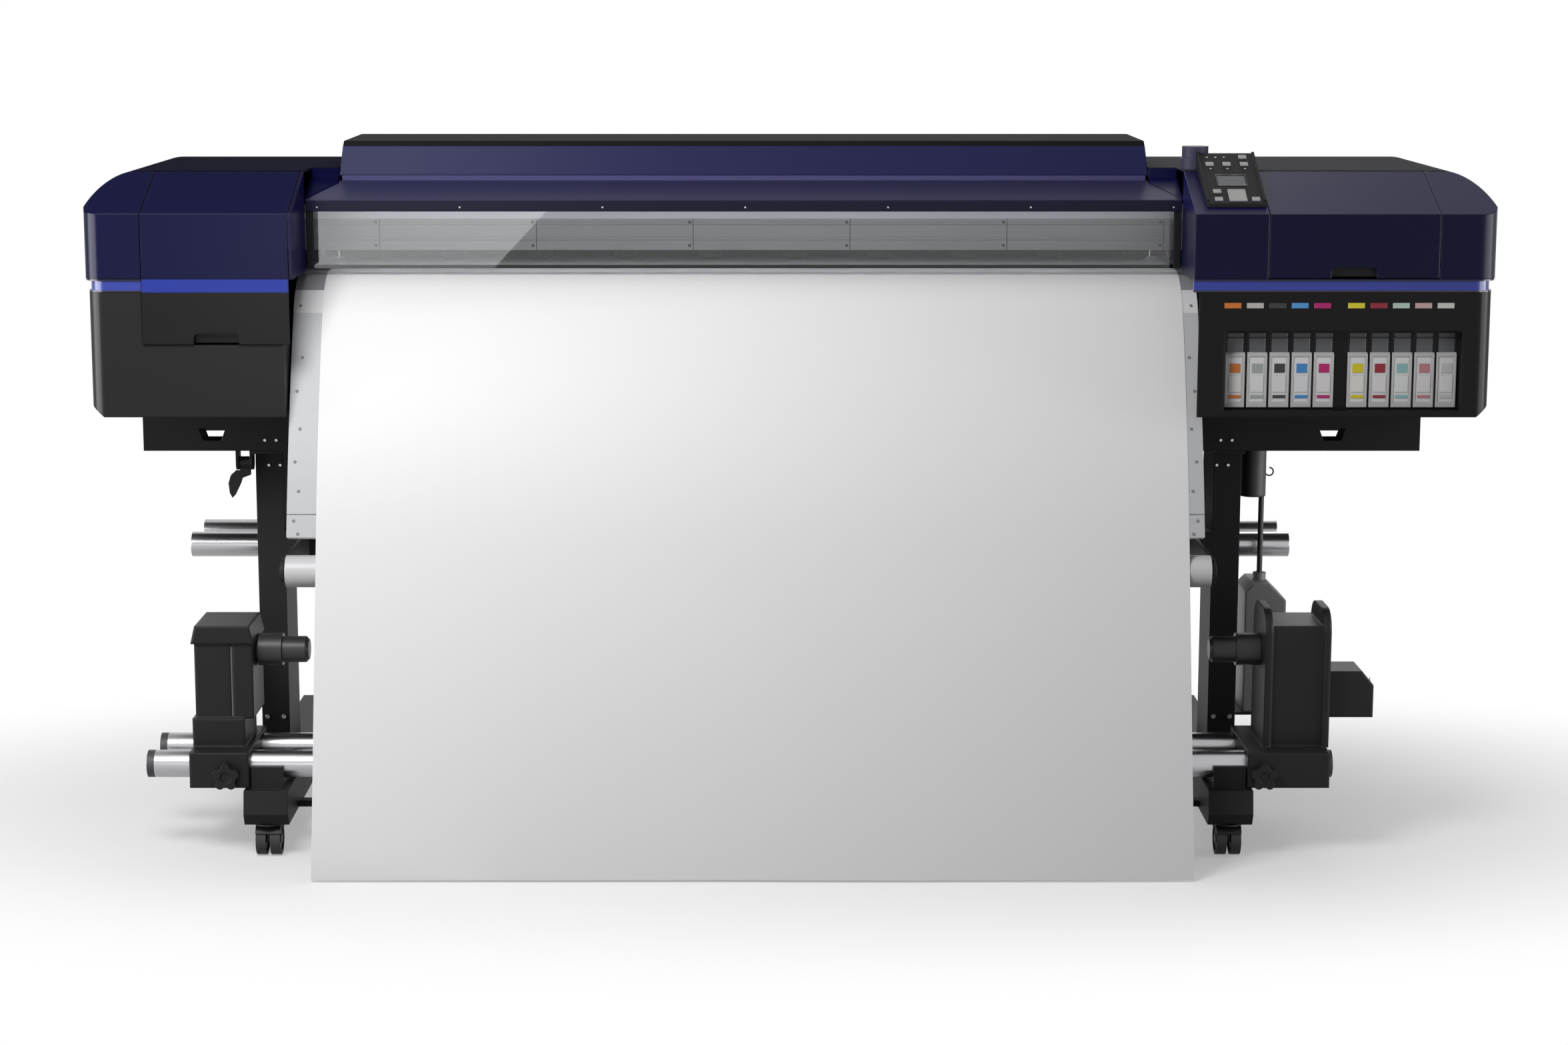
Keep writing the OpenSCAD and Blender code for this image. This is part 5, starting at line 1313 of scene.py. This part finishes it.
@dataclass
class TakeUp:
    """Take-up unit at the front, feed holders at the rear and the loading lever."""

    axis_y: float = -258.0
    idler_screws: tuple[float, float] = (255.0, 395.0)
    drive_screws: tuple[float, float] = (285.0, 320.0)
    strip_low: Point = (74.3, -320.8, 262.0)
    strip_high: Point = (76.7, -319.1, 398.0)

    def build(self, machine: Printer) -> None:
        """Dresses the housings, hubs, knobs and lever.

        Args:
            machine: The shared nodes and finishes.
        """
        shell = Moulding("take_up_housing", (0.014, 0.014, 0.015), (0.018, 0.018, 0.019), rough=0.42,
                         specular=0.15, edge=0.007)
        hub = Moulding("core_plug_plastic", (0.035, 0.035, 0.037), (0.04, 0.04, 0.042), rough=0.4, edge=0.002)
        knob = Moulding("knob_plastic", (0.012, 0.012, 0.013), (0.016, 0.016, 0.017), rough=0.5,
                        specular=0.15, edge=0.002)
        machine.dress(shell, "idler_housing", "drive_housing", "feed_holders")
        machine.dress(hub, "idler_hub", "drive_hub")
        machine.dress(knob, "clamp_knob_left", "clamp_knob_right", "media_lever")
        low, _ = box_mm("idler_housing")
        spots = [((low.x - PROUD, self.axis_y, z), (-1, 0, 0)) for z in self.idler_screws]
        machine.screws.set_on("idler_screws", spots, "idler_housing", "black_steel", 4.0, 2.4)
        # Painted highlight: a light grey strip laid in the groove of the idler's front stands in for the
        # light line seen along it.
        grey = Moulding("groove_painted_highlight", (0.17, 0.17, 0.175), (0.2, 0.2, 0.205), rough=0.45, edge=0.0005)
        strip = MeshKit("idler_groove_painted_highlight")
        ends = [(low.x + x, y, z) for x, y, z in (self.strip_low, self.strip_high)]
        strip.slab(*ends, 0.3)
        strip.piece((machine.get(grey),), "idler_housing")
        _, high = box_mm("drive_housing")
        spots = [((high.x + PROUD, self.axis_y, z), (1, 0, 0)) for z in self.drive_screws]
        machine.screws.set_on("drive_screws", spots, FIXED, "black_steel", 4.0, 2.4)


@dataclass(frozen=True)
class Lamp:
    """One soft area light, which the camera doesn't see."""

    name: str
    at: Point
    to: Point
    size: tuple[float, float]
    watts: float
    spin: float = 0.0
    lights_matt: bool = True

    def build(self) -> None:
        """Adds the light to the scene."""
        data = bpy.data.lights.new(self.name, "AREA")
        data.shape = "RECTANGLE"
        data.size, data.size_y = self.size
        data.energy = self.watts
        lamp = bpy.data.objects.new(self.name, data)
        lamp.location = self.at
        lamp.rotation_euler = (Vector(self.to) - Vector(self.at)).to_track_quat("-Z", "Y").to_euler()
        if self.spin:
            lamp.rotation_euler.rotate_axis("Z", math.radians(self.spin))
        lamp.visible_camera = False
        lamp.visible_diffuse = self.lights_matt
        bpy.context.scene.collection.objects.link(lamp)


@dataclass
class Studio:
    """Pale floor, soft lights, white surroundings and the camera."""

    eye: Point = (-0.070, -6.178, 1.636)
    pitch: float = 9.7
    lens: float = 72.72
    shift: float = 0.02
    ambient: float = 0.13
    floor_haze: float = 0.3
    floor_bounce: float = 0.2
    floor_reach: float = 30.0
    floor_spread: tuple[float, float] = (0.38, 0.75)
    floor_fade: tuple[float, float] = (0.35, 0.95)
    lamps: tuple[Lamp, ...] = (
        Lamp("key_light", (-1.25, -2.2, 2.57), (-0.2, -0.3, 0.7), (1.3, 1.0), 62.0),
        Lamp("left_panel", (-3.7, -1.0, 1.2), (-1.3, -0.3, 1.0), (1.0, 2.0), 17.0),
        Lamp("right_panel", (3.7, -0.7, 1.2), (1.3, -0.2, 1.0), (0.8, 2.0), 20.0),
        Lamp("rear_light", (0.4, 4.2, 3.2), (0.0, 0.3, 0.7), (3.0, 2.0), 60.0),
        Lamp("left_strip", (-4.2, -1.6, 1.1), (-1.3125, -0.3, 1.05), (3.2, 2.0), 260.0, lights_matt=False),
        Lamp("right_strip", (4.2, -1.6, 1.1), (1.3125, -0.3, 1.05), (3.2, 2.0), 180.0, lights_matt=False),
        Lamp("window_card", (-1.28, -4.5, 0.869), (-1.28, 0.0, 0.869), (0.9, 0.75), 4.8, spin=47.1),
    )

    def build(self) -> None:
        """Makes the whole studio."""
        self._camera()
        self._world()
        self._floor()
        for lamp in self.lamps:
            lamp.build()
        bpy.context.scene.view_settings.view_transform = "Standard"

    def _camera(self) -> None:
        """Sets the camera at the photograph's viewpoint."""
        data = bpy.data.cameras.new("camera")
        data.lens = self.lens
        data.sensor_width = 36.0
        data.shift_x = self.shift
        data.clip_end = 100.0
        camera = bpy.data.objects.new("camera", data)
        camera.location = self.eye
        camera.rotation_euler = (math.radians(90.0 - self.pitch), 0.0, 0.0)
        bpy.context.scene.collection.objects.link(camera)
        bpy.context.scene.camera = camera

    def _world(self) -> None:
        """White for the camera, reflections and glass, softer as a light."""
        world = bpy.data.worlds.new("studio_air")
        world.use_nodes = True
        tree = world.node_tree
        tree.nodes.clear()
        path = tree.nodes.new("ShaderNodeLightPath").outputs
        seen = path["Is Camera Ray"]
        for ray in ("Is Transmission Ray", "Is Glossy Ray"):
            seen = add_node(tree, "ShaderNodeMath", {"operation": "ADD", "use_clamp": True},
                            {0: seen, 1: path[ray]}).outputs[0]
        level = add_node(tree, "ShaderNodeMapRange", None,
                         {"Value": seen, "To Min": self.ambient, "To Max": 1.0}).outputs[0]
        air = add_node(tree, "ShaderNodeBackground", None,
                       {"Color": (1.0, 1.0, 1.0, 1.0), "Strength": level}).outputs[0]
        add_node(tree, "ShaderNodeOutputWorld", None, {"Surface": air})
        bpy.context.scene.world = world

    def _floor(self) -> None:
        """Makes a pale floor that fades to white away from the machine."""
        mesh = bpy.data.meshes.new("studio_floor")
        far = self.floor_reach
        mesh.from_pydata([(-far, -far, 0), (far, -far, 0), (far, far, 0), (-far, far, 0)], [], [(0, 1, 2, 3)])
        floor = bpy.data.objects.new("studio_floor", mesh)
        bpy.context.scene.collection.objects.link(floor)
        shader = Shader("pale_floor")
        bounced = shader.node("ShaderNodeLightPath", out=2)
        paint = shader.blend(bounced, (0.9, 0.9, 0.9), (self.floor_bounce,) * 3)
        shader.surface({"Base Color": paint, "Roughness": 0.9, "Specular IOR Level": 0.0})
        dx = shader.places[Axis.X] * self.floor_spread[0]
        dy = shader.places[Axis.Y] * self.floor_spread[1]
        away = (dx * dx + dy * dy).root()
        fade = shader.node("ShaderNodeMapRange", {"interpolation_type": "SMOOTHSTEP"},
                           {"Value": away, "From Min": self.floor_fade[0], "From Max": self.floor_fade[1]})
        glow = shader.node("ShaderNodeEmission", None, {"Color": (1, 1, 1, 1), "Strength": 1.0})
        share = (fade * (1.0 - self.floor_haze) + self.floor_haze) * (1.0 - bounced)
        mixed = shader.node("ShaderNodeMixShader", None,
                            {0: share, 1: Sock(shader, shader.bsdf.outputs[0]), 2: glow})
        shader.tree.links.new(mixed.out, shader.output.inputs["Surface"])
        mesh.materials.append(shader.material)


def main() -> None:
    """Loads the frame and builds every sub-assembly."""
    logging.basicConfig(level=logging.INFO)
    for obj in list(bpy.data.objects):
        bpy.data.objects.remove(obj)
    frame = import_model()
    Studio().build()
    machine = Printer(frame["nodes"])
    parts = (EndCovers(), TopCovers(), PrintBay(), VinylWeb(), DryingHeater(), InkBank(), OperatorPanel(),
             StandAndRails(), TakeUp())
    for part in parts:
        part.build(machine)
        LOG.info("built %s", type(part).__name__)


if __name__ == "__main__":
    main()
